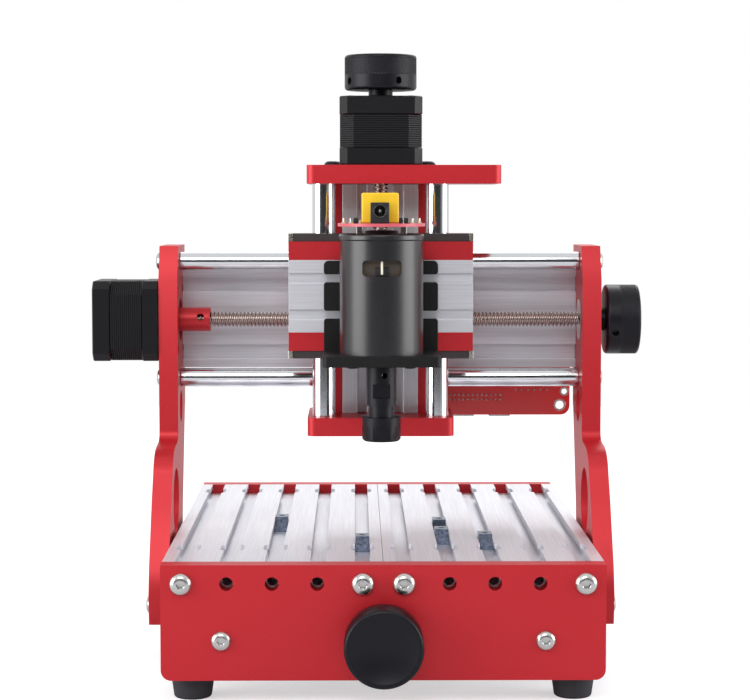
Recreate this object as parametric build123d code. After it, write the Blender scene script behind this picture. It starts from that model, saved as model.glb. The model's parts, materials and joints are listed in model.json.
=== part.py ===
from build123d import *
import math
import os

# Desktop CNC router with a moving gantry, millimetres, +Z up.
# Machine datum while modelling: X = 0 on the centre plane, Y = 0 on the front face of the
# front plate, Z = 0 on the bench. +Y points to the rear, +X to the operator's right.
# Every piece is moved at the end so that the row's origin is the bottom centre of its box.

# ---------------------------------------------------------------- driving dimensions
BASE_WIDTH = 210.0          # end plates and bed, across X
BED_LENGTH = 270.0          # bed profiles, along Y
BED_TOP = 66.0              # height of the bed's top face
BED_THICK = 15.0
BED_GAP = 0.2               # seam between the two bed profiles
END_PLATE_THICK = 10.0
END_PLATE_BOTTOM = 11.0
END_PLATE_CORNER = 5.0

SLOTS_PER_PROFILE = 5
SLOT_PITCH = 21.4
SLOT_MOUTH = 7.4
SLOT_INNER = 9.6
SLOT_LIP = 2.6
SLOT_DEPTH = 5.5
POCKET_WIDTH = 11.6         # round-ended drop-in pocket for a T-nut
POCKET_LENGTH = 20.0
POCKET_FROM_FRONT = 41.0
POCKET_FROM_REAR = 27.0
CORE_DEPTH = 9.0            # screw cores below the bed's top face
CORE_DIA = 5.0
CORE_LENGTH = 22.0
SPARE_HOLE_DIA = 6.5

NUT_NECK = 7.0
NUT_BASE = 8.8
NUT_LENGTH = 10.0
NUT_HEIGHT = 8.0
NUT_PLAY = 0.1
NUT_HOLE_DIA = 3.3
NUTS = {                    # name: (slot, from -5 to 5 without 0, distance from the bed's front end)
    "t_nut_left_outer": (-3, 129.0),
    "t_nut_left_inner": (-1, 64.0),
    "t_nut_right_rear": (2, 118.0),
    "t_nut_right_front": (2, 86.0),
    "t_nut_right_outer": (3, 70.0),
}

FOOT_DIA = 21.0
FOOT_X = 91.0
FOOT_LUG_DEPTH = 12.0
FOOT_LUG_HEIGHT = 7.0
FOOT_SCREW_DIA = 4.0
FOOT_WELL = 5.0             # screw well in the underside of a foot
FOOT_TAPER = 1.6
ROD_TAP = 12.0              # screw holes in the ends of the guide rods
BAR_TAP = 16.0              # screw holes in the ends of the crossbar and beam
SCREW_FREE = 1.2            # clearance on a lead screw's diameter where it passes a plate
COUPLING_FREE = 2.4         # the same for a coupling
BOSS_FREE = 0.4             # the same for a motor's boss
MOTOR_TAP = 4.5             # a motor screw's reach into the flange

ROD_DIA = 10.0              # X and Y guide rods
Z_ROD_DIA = 12.0
SCREW_DIA = 8.0             # lead screws
BEARING_OUT = 19.0          # linear bearing of a ROD_DIA rod
BEARING_LEN = 55.0
Z_BEARING_OUT = 21.0
RUN = 0.05                  # radial running clearance
BALL_OUT = 22.0             # ball bearing on a lead screw
BALL_WIDTH = 7.0
NUT_FLANGE_DIA = 20.0
NUT_FLANGE = 3.5
NUT_WALL = 1.1

Y_ROD_X = 76.5
Y_AXIS_Z = 30.0             # Y rods, Y lead screw and Y motor

SIDE_GAP = 2.0              # side plates clear of the end plates
SIDE_THICK = 10.0
X_AXIS_Y = 150.0            # X rods, X lead screw and X motor
X_AXIS_Z = 173.2
X_ROD_PITCH = 62.4
BEAM_FRONT = 164.0
BEAM_THICK = 12.0
BEAM_HEIGHT = 54.0
BEAM_SLOT_PITCH = 37.0
BEAM_SLOT_MOUTH = 8.2
BEAM_SLOT_DEPTH = 4.0

SIDE_FRONT = 20.0           # side plate in front of the X rods
SIDE_REAR = 28.5
SIDE_ABOVE_ROD = 8.4

CROSSBAR_FRONT = 75.0
CROSSBAR_DEPTH = 70.0
CROSSBAR_HEIGHT = 23.0
CROSSBAR_SCREWS_Z = 31.2

CARRIAGE_INNER = 40.0       # extrusion of the X carriage, across X
CARRIAGE_SIDE = 10.0
CARRIAGE_EXTRUSION_THICK = 10.0
CARRIAGE_REAR_GAP = 2.0     # in front of the beam
Z_BOTTOM = 115.0
Z_PLATE = 9.5
Z_FRAME_HEIGHT = 140.0
Z_BOTTOM_PLATE_WIDTH = 76.0
Z_BOTTOM_PLATE_FRONT = 104.0
Z_TOP_PLATE_LEFT = 38.0
Z_TOP_PLATE_RIGHT = 61.5
Z_TOP_PLATE_FRONT = 94.5
Z_PLATE_CORNER = 4.3
Z_ROD_X = 29.5

SLIDER_WIDTH = 95.0
SLIDER_DEPTH = 25.5
SLIDER_WALL = 2.0           # in front of the Z bearings
SLIDER_GAP = 1.0            # between the slider and the X carriage
SLIDER_BOTTOM = 159.5
SLIDER_CAP = 9.5
SLIDER_CORE = 37.3
SLIDER_SLOT_PITCH = 18.7
SLIDER_SLOT_MOUTH = 5.2
SLIDER_SLOT_DEPTH = 1.5
RETAINER_THICK = 4.0
RETAINER_WIDTH = 91.5
RETAINER_INSET = 1.0
RETAINER_FREE = 1.6         # clearance on the diameter of what passes a retainer

BRACKET_WIDTH = 58.6
BRACKET_BACK = 4.0
BRACKET_FLOOR = 5.4
BRACKET_TOP = 206.0
BRACKET_NOTCH = 4.1
BRACKET_NOTCH_LENGTH = 11.5
BRACKET_CORNER = 2.5
BRACKET_FINGER_CORNER = 1.4
BRACKET_SCREW_X = 14.5
BRACKET_FLOOR_LIP = 0.5     # the floor runs past the can

CAN_DIA = 42.0              # spindle motor
CAN_WALL = 1.8
CAN_FACE = 3.5              # thickness of the end with the boss
CAN_LENGTH = 57.0
RIM_STAND = 0.4             # the rim stands out past the can
RIM_HEIGHT = 3.2
CAN_CLEAR = 0.3
SPINDLE_SHAFT_DIA = 5.0
SPINDLE_BOSS_DIA = 17.5
SPINDLE_BOSS = 3.0
VENT_WIDTH = 19.4
VENT_HEIGHT = 7.9
VENT_TOP_DROP = 12.8
VENT_CORNER = 2.0
BOARD_DIA = 43.8
BOARD_THICK = 1.6
BOARD_LIFT = 3.8
CAPACITOR_DEPTH = 12.0
CAPACITOR_HEIGHT = 15.2
LUG_DIA = 3.0
LUG_X = 11.0
JACK_X = -1.0
JACK_FRONT = 19.5           # socket face in front of the spindle axis
JACK_WIDTH = 9.2
JACK_HEIGHT = 10.4
JACK_LENGTH = 13.0
JACK_BORE = 6.4
JACK_BORE_Z = 6.2
JACK_BORE_LENGTH = 10.0
CHUCK_DIA = 15.7
CHUCK_LENGTH = 20.0
CHUCK_NECK_DIA = 13.0
CHUCK_NECK = 6.0
CHUCK_GAP = 0.6
CHUCK_SHAFT_BORE = 12.0     # depth of the shaft's seat
CHUCK_FLAT = 1.3            # depth of the wrench flats
COLLET_NUT_DIA = 19.4
COLLET_NUT_HEIGHT = 12.0
COLLET_NUT_FLATS = 17.4     # across the hexagon on its lower part
COLLET_NUT_HEX = 7.4
COLLET_THREAD_DIA = 11.0
COLLET_THREAD = 6.0
COLLET_DIA = 7.6
COLLET_TIP_OUT = 0.4        # the collet stands out of its nut
COLLET_SLIT = 0.5
COLLET_SLIT_REACH = 7.0
COLLET_BORE_DIA = 3.175
COLLET_LENGTH = 16.0

MOTOR_SIZE = 42.3
MOTOR_LENGTH = 35.0
MOTOR_FLANGE = 9.0
MOTOR_CAP = 9.5
MOTOR_BOSS_DIA = 22.0
MOTOR_BOSS = 2.0
MOTOR_SHAFT_DIA = 5.0
MOTOR_SHAFT_OUT = 14.0
MOTOR_CORNER = 4.0
MOTOR_STACK_CORNER = 7.0
MOTOR_HOLE_PITCH = 31.0
ROTOR_DIA = 26.0

COUPLING_DIA = 12.8
COUPLING_LENGTH = 23.5
COUPLING_START = 2.5        # from the motor's flange face
WHEEL_DIA = 37.2
WHEEL_THICK = 18.0
WHEEL_HUB_DIA = 12.5
WHEEL_HUB = 3.0
WHEEL_GAP = 0.6
WHEEL_EDGE = 1.6
GRUB_DIA = 3.0
COUPLING_GRUB_DIA = 4.0
COUPLING_GRUB_IN = 5.0      # from each end of the coupling
COUPLING_GRUB_TURN = -104.0 # a little above the front, seen from the operator's side
HEAD_RECESS = 2.2           # depth of the counterbores over motor screws

CONTROL_WIDTH = 100.0
CONTROL_HEIGHT = 82.0
CONTROL_BOTTOM = 118.0
CONTROL_RIGHT = 106.0
CONTROL_STANDOFF = 8.0
CONTROL_THICK = 1.6
STANDOFF_DIA = 5.5

M6 = {"head": 11.0, "height": 3.3, "shank": 5.0, "hole": 6.5, "key": 4.0}
M5 = {"head": 9.8, "height": 2.8, "shank": 4.2, "hole": 5.4, "key": 3.0}
M4 = {"head": 7.4, "height": 2.2, "shank": 3.4, "hole": 4.0, "key": 2.5}
M3 = {"head": 5.6, "height": 1.7, "shank": 2.5, "hole": 3.2, "key": 2.0}

# ---------------------------------------------------------------- worked-out places
HALF = BASE_WIDTH / 2
BED_FRONT = END_PLATE_THICK
BED_REAR = BED_FRONT + BED_LENGTH
BASE_REAR = BED_REAR + END_PLATE_THICK
BED_BOTTOM = BED_TOP - BED_THICK
CORE_Z = BED_TOP - CORE_DEPTH
PROFILE_WIDTH = HALF - BED_GAP / 2
SIDE_IN = HALF + SIDE_GAP
SIDE_OUT = SIDE_IN + SIDE_THICK
X_RODS_Z = (X_AXIS_Z - X_ROD_PITCH / 2, X_AXIS_Z + X_ROD_PITCH / 2)
BEAM_REAR = BEAM_FRONT + BEAM_THICK
CARRIAGE_REAR = BEAM_FRONT - CARRIAGE_REAR_GAP
Z_TOP = Z_BOTTOM + Z_FRAME_HEIGHT
CARRIAGE_FRONT = X_AXIS_Y - BEARING_OUT / 2 - 1.0 - CARRIAGE_EXTRUSION_THICK
SLIDER_REAR = CARRIAGE_FRONT - SLIDER_GAP
SLIDER_FRONT = SLIDER_REAR - SLIDER_DEPTH
Z_AXIS_Y = SLIDER_FRONT + SLIDER_WALL + Z_BEARING_OUT / 2
SLIDER_TOP = SLIDER_BOTTOM + 2 * SLIDER_CAP + SLIDER_CORE
SLIDER_SLOTS_Z = [SLIDER_BOTTOM + SLIDER_CAP + SLIDER_CORE / 2 + s * SLIDER_SLOT_PITCH / 2 for s in (-1, 1)]
SPINDLE_Y = SLIDER_FRONT - BRACKET_BACK - CAN_CLEAR - CAN_DIA / 2
CAN_BOTTOM = SLIDER_BOTTOM + 0.4
CAN_TOP = CAN_BOTTOM + CAN_LENGTH + RIM_HEIGHT
BRACKET_BOTTOM = CAN_BOTTOM - BRACKET_FLOOR
CHUCK_TOP = BRACKET_BOTTOM - CHUCK_GAP
CHUCK_BOTTOM = CHUCK_TOP - CHUCK_LENGTH
NECK_BOTTOM = CHUCK_BOTTOM - CHUCK_NECK
COLLET_TIP = NECK_BOTTOM - COLLET_NUT_HEIGHT
BOARD_Z = CAN_TOP + BOARD_LIFT
RIM_DIA = CAN_DIA + 2 * RIM_STAND
WHEEL_REACH = WHEEL_GAP + WHEEL_HUB + WHEEL_THICK
CROSSBAR_REAR = CROSSBAR_FRONT + CROSSBAR_DEPTH
CROSSBAR_BOTTOM = Y_AXIS_Z - CROSSBAR_HEIGHT / 2
CONTROL_Y = BEAM_REAR + CONTROL_STANDOFF
BOX_X = (-SIDE_OUT - MOTOR_LENGTH, SIDE_OUT + WHEEL_REACH)
BOX_Y = (-WHEEL_REACH, BASE_REAR + MOTOR_LENGTH)
NUT_BODY_DIA = SCREW_DIA + 2 * NUT_WALL
TO_ROW = Pos(-sum(BOX_X) / 2, -sum(BOX_Y) / 2, 0)
AXES = {"X": (0, 90, 0), "Y": (-90, 0, 0), "Z": (0, 0, 0)}


def box(x, y, z):
    """A block between two X, two Y and two Z values."""
    size = [abs(b - a) for a, b in (x, y, z)]
    return Pos(sum(x) / 2, sum(y) / 2, sum(z) / 2) * Box(*size)


def turned(shape, axis):
    """A shape made along +Z, turned to lie along +X, +Y or +Z."""
    return Rot(*AXES[axis]) * shape


def bar(axis, dia, start, end, at):
    """A round bar along an axis, from start to end; at holds its two other coordinates."""
    low, high = min(start, end), max(start, end)
    middle = list(at)
    middle.insert("XYZ".index(axis), (low + high) / 2)
    return Pos(*middle) * turned(Cylinder(dia / 2, high - low), axis)


def ring(axis, outer, inner, start, end, at):
    """A tube along an axis."""
    return bar(axis, outer, start, end, at) - bar(axis, inner, start - 1, end + 1, at)


def ball_bearing(axis, start, at):
    """Ball bearing on a lead screw."""
    return ring(axis, BALL_OUT, SCREW_DIA + 2 * RUN, start, start + BALL_WIDTH, at)


def button_screw(size, axis, way, seat, length, at):
    """A button-head socket screw whose head stands off seat against way and whose shank goes along way."""
    head_r, height = size["head"] / 2, size["height"]
    with BuildPart() as screw:
        with BuildSketch(Plane.XZ):
            with BuildLine():
                Polyline((0, -height), (head_r * 0.55, -height))
                ThreePointArc((head_r * 0.55, -height), (head_r * 0.88, -height * 0.6), (head_r, 0))
                Polyline((head_r, 0), (size["shank"] / 2, 0), (size["shank"] / 2, length), (0, length),
                         (0, -height))
            make_face()
        revolve(axis=Axis.Z)
        with BuildSketch(Plane.XY.offset(-height)):
            RegularPolygon(size["key"] / math.sqrt(3), 6)
        extrude(amount=height * 0.6, mode=Mode.SUBTRACT)
    body = screw.part if way > 0 else Rot(180, 0, 0) * screw.part
    place = list(at)
    place.insert("XYZ".index(axis), seat)
    return Pos(*place) * turned(body, axis)


def save(name, *shapes):
    """Moves a node's solids into the row frame and writes them."""
    solids = [solid for shape in shapes for solid in (TO_ROW * shape).solids()]
    export_step(solids[0] if len(solids) == 1 else Compound(solids), f"parts/{name}.step")


def slot_x(slot):
    """Centre of a T-slot: slots count outwards from the seam, negative to the left."""
    from_seam = PROFILE_WIDTH / 2 + (abs(slot) - (SLOTS_PER_PROFILE + 1) / 2) * SLOT_PITCH
    return math.copysign(BED_GAP / 2 + from_seam, slot)


# ---------------------------------------------------------------- base
def end_plate(front):
    """Front or rear plate with its foot lugs, rod and screw holes."""
    face, inner = (0.0, BED_FRONT) if front else (BASE_REAR, BED_REAR)
    into = 1 if front else -1
    plate = box((-HALF, HALF), (face, inner), (END_PLATE_BOTTOM, BED_TOP))
    lower = [e for e in plate.edges().filter_by(Axis.Y) if e.center().Z < BED_BOTTOM]
    plate = fillet(lower, END_PLATE_CORNER)
    for side in (-1, 1):
        lug_x = (side * FOOT_X - FOOT_DIA / 2, side * FOOT_X + FOOT_DIA / 2)
        plate += box(lug_x, (inner, inner + into * FOOT_LUG_DEPTH),
                     (END_PLATE_BOTTOM, END_PLATE_BOTTOM + FOOT_LUG_HEIGHT))
        plate -= bar("Z", FOOT_SCREW_DIA, END_PLATE_BOTTOM, END_PLATE_BOTTOM + FOOT_LUG_HEIGHT - 1.5,
                     (side * FOOT_X, inner + into * FOOT_LUG_DEPTH / 2))
        plate -= bar("Y", M5["hole"], face, inner, (side * Y_ROD_X, Y_AXIS_Z))
        for slot in range(1, SLOTS_PER_PROFILE + 1):
            outer_pair = slot in (1, SLOTS_PER_PROFILE)
            plate -= bar("Y", M6["hole"] if outer_pair else SPARE_HOLE_DIA, face, inner,
                         (slot_x(side * slot), CORE_Z))
    if front:
        plate -= bar("Y", SCREW_DIA + SCREW_FREE, face, inner, (0, Y_AXIS_Z))
        plate -= bar("Y", BALL_OUT, inner - BALL_WIDTH, inner, (0, Y_AXIS_Z))
        return plate
    plate -= bar("Y", MOTOR_BOSS_DIA + BOSS_FREE, face, inner, (0, Y_AXIS_Z))
    for x, z in corners(MOTOR_HOLE_PITCH):
        plate -= bar("Y", M3["hole"], face, inner, (x, Y_AXIS_Z + z))
    return plate


def corners(pitch):
    """The four corners of a square about 0."""
    return [(sx * pitch / 2, sz * pitch / 2) for sx in (-1, 1) for sz in (-1, 1)]


def bed_profile(side):
    """Extruded T-slot profile, half of the bed."""
    inner = side * BED_GAP / 2
    profile = box((inner, side * HALF), (BED_FRONT, BED_REAR), (BED_BOTTOM, BED_TOP))
    run = (BED_FRONT - 1, BED_REAR + 1)
    floor = BED_TOP - SLOT_DEPTH
    for slot in range(1, SLOTS_PER_PROFILE + 1):
        x = slot_x(side * slot)
        profile -= box((x - SLOT_MOUTH / 2, x + SLOT_MOUTH / 2), run, (floor, BED_TOP + 1))
        profile -= box((x - SLOT_INNER / 2, x + SLOT_INNER / 2), run, (floor, BED_TOP - SLOT_LIP))
        for y in (BED_FRONT + POCKET_FROM_FRONT, BED_REAR - POCKET_FROM_REAR):
            pocket = box((x - POCKET_WIDTH / 2, x + POCKET_WIDTH / 2),
                         (y - POCKET_LENGTH / 2, y + POCKET_LENGTH / 2), (floor, BED_TOP + 1))
            profile -= fillet(pocket.edges().filter_by(Axis.Z), POCKET_WIDTH / 2 - 0.1)
        for start, end in ((BED_FRONT, BED_FRONT + CORE_LENGTH), (BED_REAR - CORE_LENGTH, BED_REAR)):
            profile -= bar("Y", CORE_DIA, start, end, (x, CORE_Z))
    return profile


def t_nut(slot, from_front):
    """Drop-in nut: a wide base under the slot's lips and a neck that stands out of the slot."""
    x, y = slot_x(slot), BED_FRONT + from_front
    low = BED_TOP - SLOT_DEPTH + NUT_PLAY
    along = (y - NUT_LENGTH / 2, y + NUT_LENGTH / 2)
    base = box((x - NUT_BASE / 2, x + NUT_BASE / 2), along, (low, BED_TOP - SLOT_LIP - 0.2))
    neck = box((x - NUT_NECK / 2, x + NUT_NECK / 2), along, (low, low + NUT_HEIGHT))
    return base + neck - bar("Z", NUT_HOLE_DIA, low - 1, low + NUT_HEIGHT + 1, (x, y))


def foot(x, y):
    """Tapered rubber foot with a screw well in its underside."""
    taper = Rot(180, 0, 0) * Cone(FOOT_DIA / 2, FOOT_DIA / 2 - FOOT_TAPER, END_PLATE_BOTTOM)
    body = Pos(x, y, END_PLATE_BOTTOM / 2) * taper
    body = fillet(body.edges().group_by(Axis.Z)[0], 1.5)
    return (body - bar("Z", FOOT_SCREW_DIA + 0.2, 0, END_PLATE_BOTTOM, (x, y))
            - bar("Z", M4["head"] + 1.0, 0, FOOT_WELL, (x, y)))


def make_base():
    save("front_plate", end_plate(True))
    save("rear_plate", end_plate(False))
    save("bed_profile_left", bed_profile(-1))
    save("bed_profile_right", bed_profile(1))
    rods, feet, screws = [], [], []
    for side in (-1, 1):
        at = (side * Y_ROD_X, Y_AXIS_Z)
        rod = bar("Y", ROD_DIA, BED_FRONT, BED_REAR, at)
        for seat, way in ((0.0, 1), (BASE_REAR, -1)):
            reach = END_PLATE_THICK + ROD_TAP
            rod -= bar("Y", M5["shank"], seat, seat + way * reach, at)
            screws.append(button_screw(M5, "Y", way, seat, reach - 2.0, at))
            foot_y = seat + way * (END_PLATE_THICK + FOOT_LUG_DEPTH / 2)
            feet.append(foot(side * FOOT_X, foot_y))
            screws.append(button_screw({**M4, "shank": FOOT_SCREW_DIA}, "Z", 1, FOOT_WELL,
                                       END_PLATE_BOTTOM - FOOT_WELL + FOOT_LUG_HEIGHT - 3.0,
                                       (side * FOOT_X, foot_y)))
            for slot in (1, SLOTS_PER_PROFILE):
                screws.append(button_screw({**M6, "shank": CORE_DIA}, "Y", way, seat,
                                           END_PLATE_THICK + CORE_LENGTH - 6.0,
                                           (slot_x(side * slot), CORE_Z)))
        rods.append(rod)
    save("y_guide_rods", *rods)
    save("rubber_feet", *feet)
    screws += motor_screws("Y", 1, BED_REAR, END_PLATE_THICK + MOTOR_TAP, (0, Y_AXIS_Z))
    save("base_screws", *screws)
    save("y_screw_bearing", ball_bearing("Y", BED_FRONT - BALL_WIDTH, (0, Y_AXIS_Z)))
    for name, (slot, from_front) in NUTS.items():
        save(name, t_nut(slot, from_front))


# ---------------------------------------------------------------- drives
def motor(axis, way, seat, at, through):
    """Stepper motor whose flange lies on seat and whose body goes along way; through is the shaft bore."""
    stack_end = MOTOR_LENGTH - MOTOR_CAP

    def block(start, end, corner):
        piece = Pos(0, 0, (start + end) / 2) * Box(MOTOR_SIZE, MOTOR_SIZE, end - start)
        return chamfer(piece.edges().filter_by(Axis.Z), corner)

    def bore(start, end, dia):
        return Pos(0, 0, (start + end) / 2) * Cylinder(dia / 2, end - start)

    flange = block(0, MOTOR_FLANGE, MOTOR_CORNER) + bore(-MOTOR_BOSS, 0, MOTOR_BOSS_DIA)
    flange -= bore(-MOTOR_BOSS - 1, MOTOR_FLANGE + 1, through)
    stack = block(MOTOR_FLANGE, stack_end, MOTOR_STACK_CORNER)
    stack -= bore(MOTOR_FLANGE - 1, stack_end + 1, ROTOR_DIA + 0.8)
    cap = block(stack_end, MOTOR_LENGTH, MOTOR_CORNER)
    cap -= bore(stack_end - 1, stack_end + 3, through)
    if axis == "Z":
        cap -= bore(stack_end - 1, MOTOR_LENGTH + 1, through)
    for x, y in corners(MOTOR_HOLE_PITCH):
        flange -= Pos(x, y, 2.5) * Cylinder(M3["shank"] / 2, 5.0)
    place = list(at)
    place.insert("XYZ".index(axis), seat)
    flip = Rot(0, 0, 0) if way > 0 else Rot(180, 0, 0)
    return [Pos(*place) * turned(flip * piece, axis) for piece in (flange, stack, cap)]


def rotor(axis, way, seat, at, shaft_dia, hollow):
    """Rotor core on its shaft; a hollow one rides on a lead screw that runs right through."""
    core_start, core_end = MOTOR_FLANGE + 0.5, MOTOR_LENGTH - MOTOR_CAP - 0.5
    core = bar(axis, ROTOR_DIA, seat + way * core_start, seat + way * core_end, at)
    if hollow:
        return core - bar(axis, shaft_dia, seat, seat + way * MOTOR_LENGTH, at)
    return core + bar(axis, shaft_dia, seat - way * MOTOR_SHAFT_OUT,
                      seat + way * (MOTOR_LENGTH - MOTOR_CAP + 2.0), at)


def motor_screws(axis, way, seat, depth, at):
    """Four M3 screws through a plate into a motor's flange; seat is the plate face they sit on."""
    first, second = at
    return [button_screw(M3, axis, way, seat, depth, (first + a, second + b))
            for a, b in corners(MOTOR_HOLE_PITCH)]


def coupling(axis, way, face, at):
    """Rigid coupling on the motor's shaft, running away from the motor along way from its flange face."""
    start = face + way * COUPLING_START
    end = start + way * COUPLING_LENGTH
    step = face + way * (MOTOR_SHAFT_OUT + 0.5)
    body = bar(axis, COUPLING_DIA, start, end, at)
    body -= bar(axis, MOTOR_SHAFT_DIA, start, step, at)
    body -= bar(axis, SCREW_DIA, step, end, at)
    hole = Rot(0, 0, COUPLING_GRUB_TURN) * Pos(COUPLING_DIA / 2, 0, 0) * Rot(0, 90, 0)
    hole *= Cylinder(COUPLING_GRUB_DIA / 2, COUPLING_DIA)
    for along in (start + way * COUPLING_GRUB_IN, end - way * COUPLING_GRUB_IN):
        place = list(at)
        place.insert("XYZ".index(axis), along)
        body -= Pos(*place) * turned(hole, axis)
    return body


def handwheel(axis, way, seat, at):
    """Round knob on a lead screw's end with a hub towards the machine and two grub-screw holes."""
    hub_start = seat + way * WHEEL_GAP
    rim_start = hub_start + way * WHEEL_HUB
    rim_end = rim_start + way * WHEEL_THICK
    rim = bar(axis, WHEEL_DIA, rim_start, rim_end, at)
    rim = fillet(rim.edges().filter_by(GeomType.CIRCLE), WHEEL_EDGE)
    wheel = rim + bar(axis, WHEEL_HUB_DIA, hub_start, rim_start, at)
    wheel -= bar(axis, SCREW_DIA, hub_start, rim_end - way * 3.0, at)
    middle = (rim_start + rim_end) / 2
    place = list(at)
    place.insert("XYZ".index(axis), middle)
    for turn in (25, 115):
        hole = Rot(0, 0, turn) * Pos(WHEEL_DIA / 2 - 4.0, 0, 0) * Rot(0, 90, 0) * Cylinder(GRUB_DIA / 2, 10.0)
        wheel -= Pos(*place) * turned(hole, axis)
    return wheel, rim_end - way * 3.0


def make_y_drive():
    at = (0, Y_AXIS_Z)
    save("y_motor", *motor("Y", 1, BASE_REAR, at, MOTOR_SHAFT_DIA + 2 * RUN))
    save("y_motor_rotor", rotor("Y", 1, BASE_REAR, at, MOTOR_SHAFT_DIA, False))
    save("y_coupling", coupling("Y", -1, BASE_REAR, at))
    wheel, screw_end = handwheel("Y", -1, 0.0, at)
    save("y_handwheel", wheel)
    save("y_lead_screw", bar("Y", SCREW_DIA, screw_end, BASE_REAR - MOTOR_SHAFT_OUT - 0.5, at))


def make_x_drive():
    at = (X_AXIS_Y, X_AXIS_Z)
    save("x_motor", *motor("X", -1, -SIDE_OUT, at, MOTOR_SHAFT_DIA + 2 * RUN))
    save("x_motor_rotor", rotor("X", -1, -SIDE_OUT, at, MOTOR_SHAFT_DIA, False))
    save("x_coupling", coupling("X", 1, -SIDE_OUT, at))
    wheel, screw_end = handwheel("X", 1, SIDE_OUT, at)
    save("x_handwheel", wheel)
    save("x_lead_screw", bar("X", SCREW_DIA, -SIDE_OUT + MOTOR_SHAFT_OUT + 0.5, screw_end, at))


def make_z_drive():
    at = (0, Z_AXIS_Y)
    save("z_motor", *motor("Z", 1, Z_TOP, at, SCREW_DIA + 2 * RUN))
    wheel, screw_end = handwheel("Z", 1, Z_TOP + MOTOR_LENGTH, at)
    save("z_handwheel", wheel)
    save("z_lead_screw", bar("Z", SCREW_DIA, Z_BOTTOM + Z_PLATE - BALL_WIDTH, screw_end, at),
         rotor("Z", 1, Z_TOP, at, SCREW_DIA, True))


# ---------------------------------------------------------------- gantry
def side_outline():
    """Side plate outline in Y and Z: an upright on a forward-leaning foot, joined by an S curve."""
    front, rear = X_AXIS_Y - SIDE_FRONT, X_AXIS_Y + SIDE_REAR
    top, waist = X_RODS_Z[1] + SIDE_ABOVE_ROD, X_RODS_Z[0]
    foot_bottom = CROSSBAR_BOTTOM + 5.5
    with BuildSketch(Plane.YZ) as outline:
        with BuildLine():
            Polyline((front + 8.0, top), (front, top - 18.0), (front, waist - 26.0))
            Spline((front, waist - 26.0), (front - 15.0, waist - 33.0), (front - 36.0, waist - 45.0),
                   tangents=((0, -1), (-0.42, -1)))
            Polyline((front - 36.0, waist - 45.0), (front - 44.5, BED_TOP + 18.0),
                     (front - 61.0, BED_TOP - 13.0), (front - 65.5, BED_TOP - 28.0),
                     (front - 63.0, foot_bottom), (rear - 29.0, foot_bottom), (rear - 21.0, BED_TOP + 8.0),
                     (rear - 2.5, waist - 14.0), (rear, top), (front + 8.0, top))
        make_face()
        soft = [v for v in outline.vertices() if abs(v.Z - top) < 0.1 or abs(v.Z - foot_bottom) < 0.1]
        fillet(soft, 3.0)
    return outline.sketch


def side_plate(side):
    """Gantry side plate; the left one carries the X motor, the right one the screw's bearing."""
    plate = Pos(side * SIDE_IN, 0, 0) * extrude(side_outline(), amount=side * SIDE_THICK)
    across = (side * SIDE_IN, side * SIDE_OUT)
    for dia, y, z in ((17.0, X_AXIS_Y, X_RODS_Z[0] - 15.5), (34.0, CROSSBAR_FRONT + 40.5, BED_TOP + 14.0)):
        plate -= bar("X", dia, *across, (y, z))
    for z in X_RODS_Z:
        plate -= bar("X", M5["hole"], *across, (X_AXIS_Y, z))
    for y, z in crossbar_screws():
        plate -= bar("X", M5["hole"], *across, (y, z))
    for y, z in beam_screws():
        plate -= bar("X", M5["hole"], *across, (y, z))
        plate -= bar("X", M5["head"], side * (SIDE_OUT - M5["height"] - 0.5), side * SIDE_OUT, (y, z))
    if side < 0:
        plate -= bar("X", MOTOR_BOSS_DIA + BOSS_FREE, *across, (X_AXIS_Y, X_AXIS_Z))
        for y, z in corners(MOTOR_HOLE_PITCH):
            place = (X_AXIS_Y + y, X_AXIS_Z + z)
            plate -= bar("X", M3["hole"], *across, place)
            plate -= bar("X", M3["head"] + 0.4, -SIDE_IN, -SIDE_IN - HEAD_RECESS, place)
    else:
        plate -= bar("X", SCREW_DIA + SCREW_FREE, *across, (X_AXIS_Y, X_AXIS_Z))
        plate -= bar("X", BALL_OUT, SIDE_IN, SIDE_IN + BALL_WIDTH, (X_AXIS_Y, X_AXIS_Z))
    return plate


def crossbar_screws():
    return [(CROSSBAR_FRONT + 9.0, CROSSBAR_SCREWS_Z), (CROSSBAR_REAR - 9.0, CROSSBAR_SCREWS_Z)]


def beam_screws():
    return [((BEAM_FRONT + BEAM_REAR) / 2 + 1.0, X_AXIS_Z + s * 10.0) for s in (-1, 1)]


def beam():
    """Gantry cross beam with two T-slots in its front face."""
    low = X_AXIS_Z - BEAM_HEIGHT / 2
    body = box((-SIDE_IN, SIDE_IN), (BEAM_FRONT, BEAM_REAR), (low, low + BEAM_HEIGHT))
    for s in (-1, 1):
        z = X_AXIS_Z + s * BEAM_SLOT_PITCH / 2
        body -= box((-SIDE_IN - 1, SIDE_IN + 1), (BEAM_FRONT - 1, BEAM_FRONT + BEAM_SLOT_DEPTH),
                    (z - BEAM_SLOT_MOUTH / 2, z + BEAM_SLOT_MOUTH / 2))
        for y, z in beam_screws():
            body -= bar("X", M5["shank"], s * SIDE_IN, s * (SIDE_IN - BAR_TAP), (y, z))
    for x, z in standoff_places():
        body -= bar("Y", M3["shank"], BEAM_REAR, BEAM_REAR - 6.0, (x, z))
    return body


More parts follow.
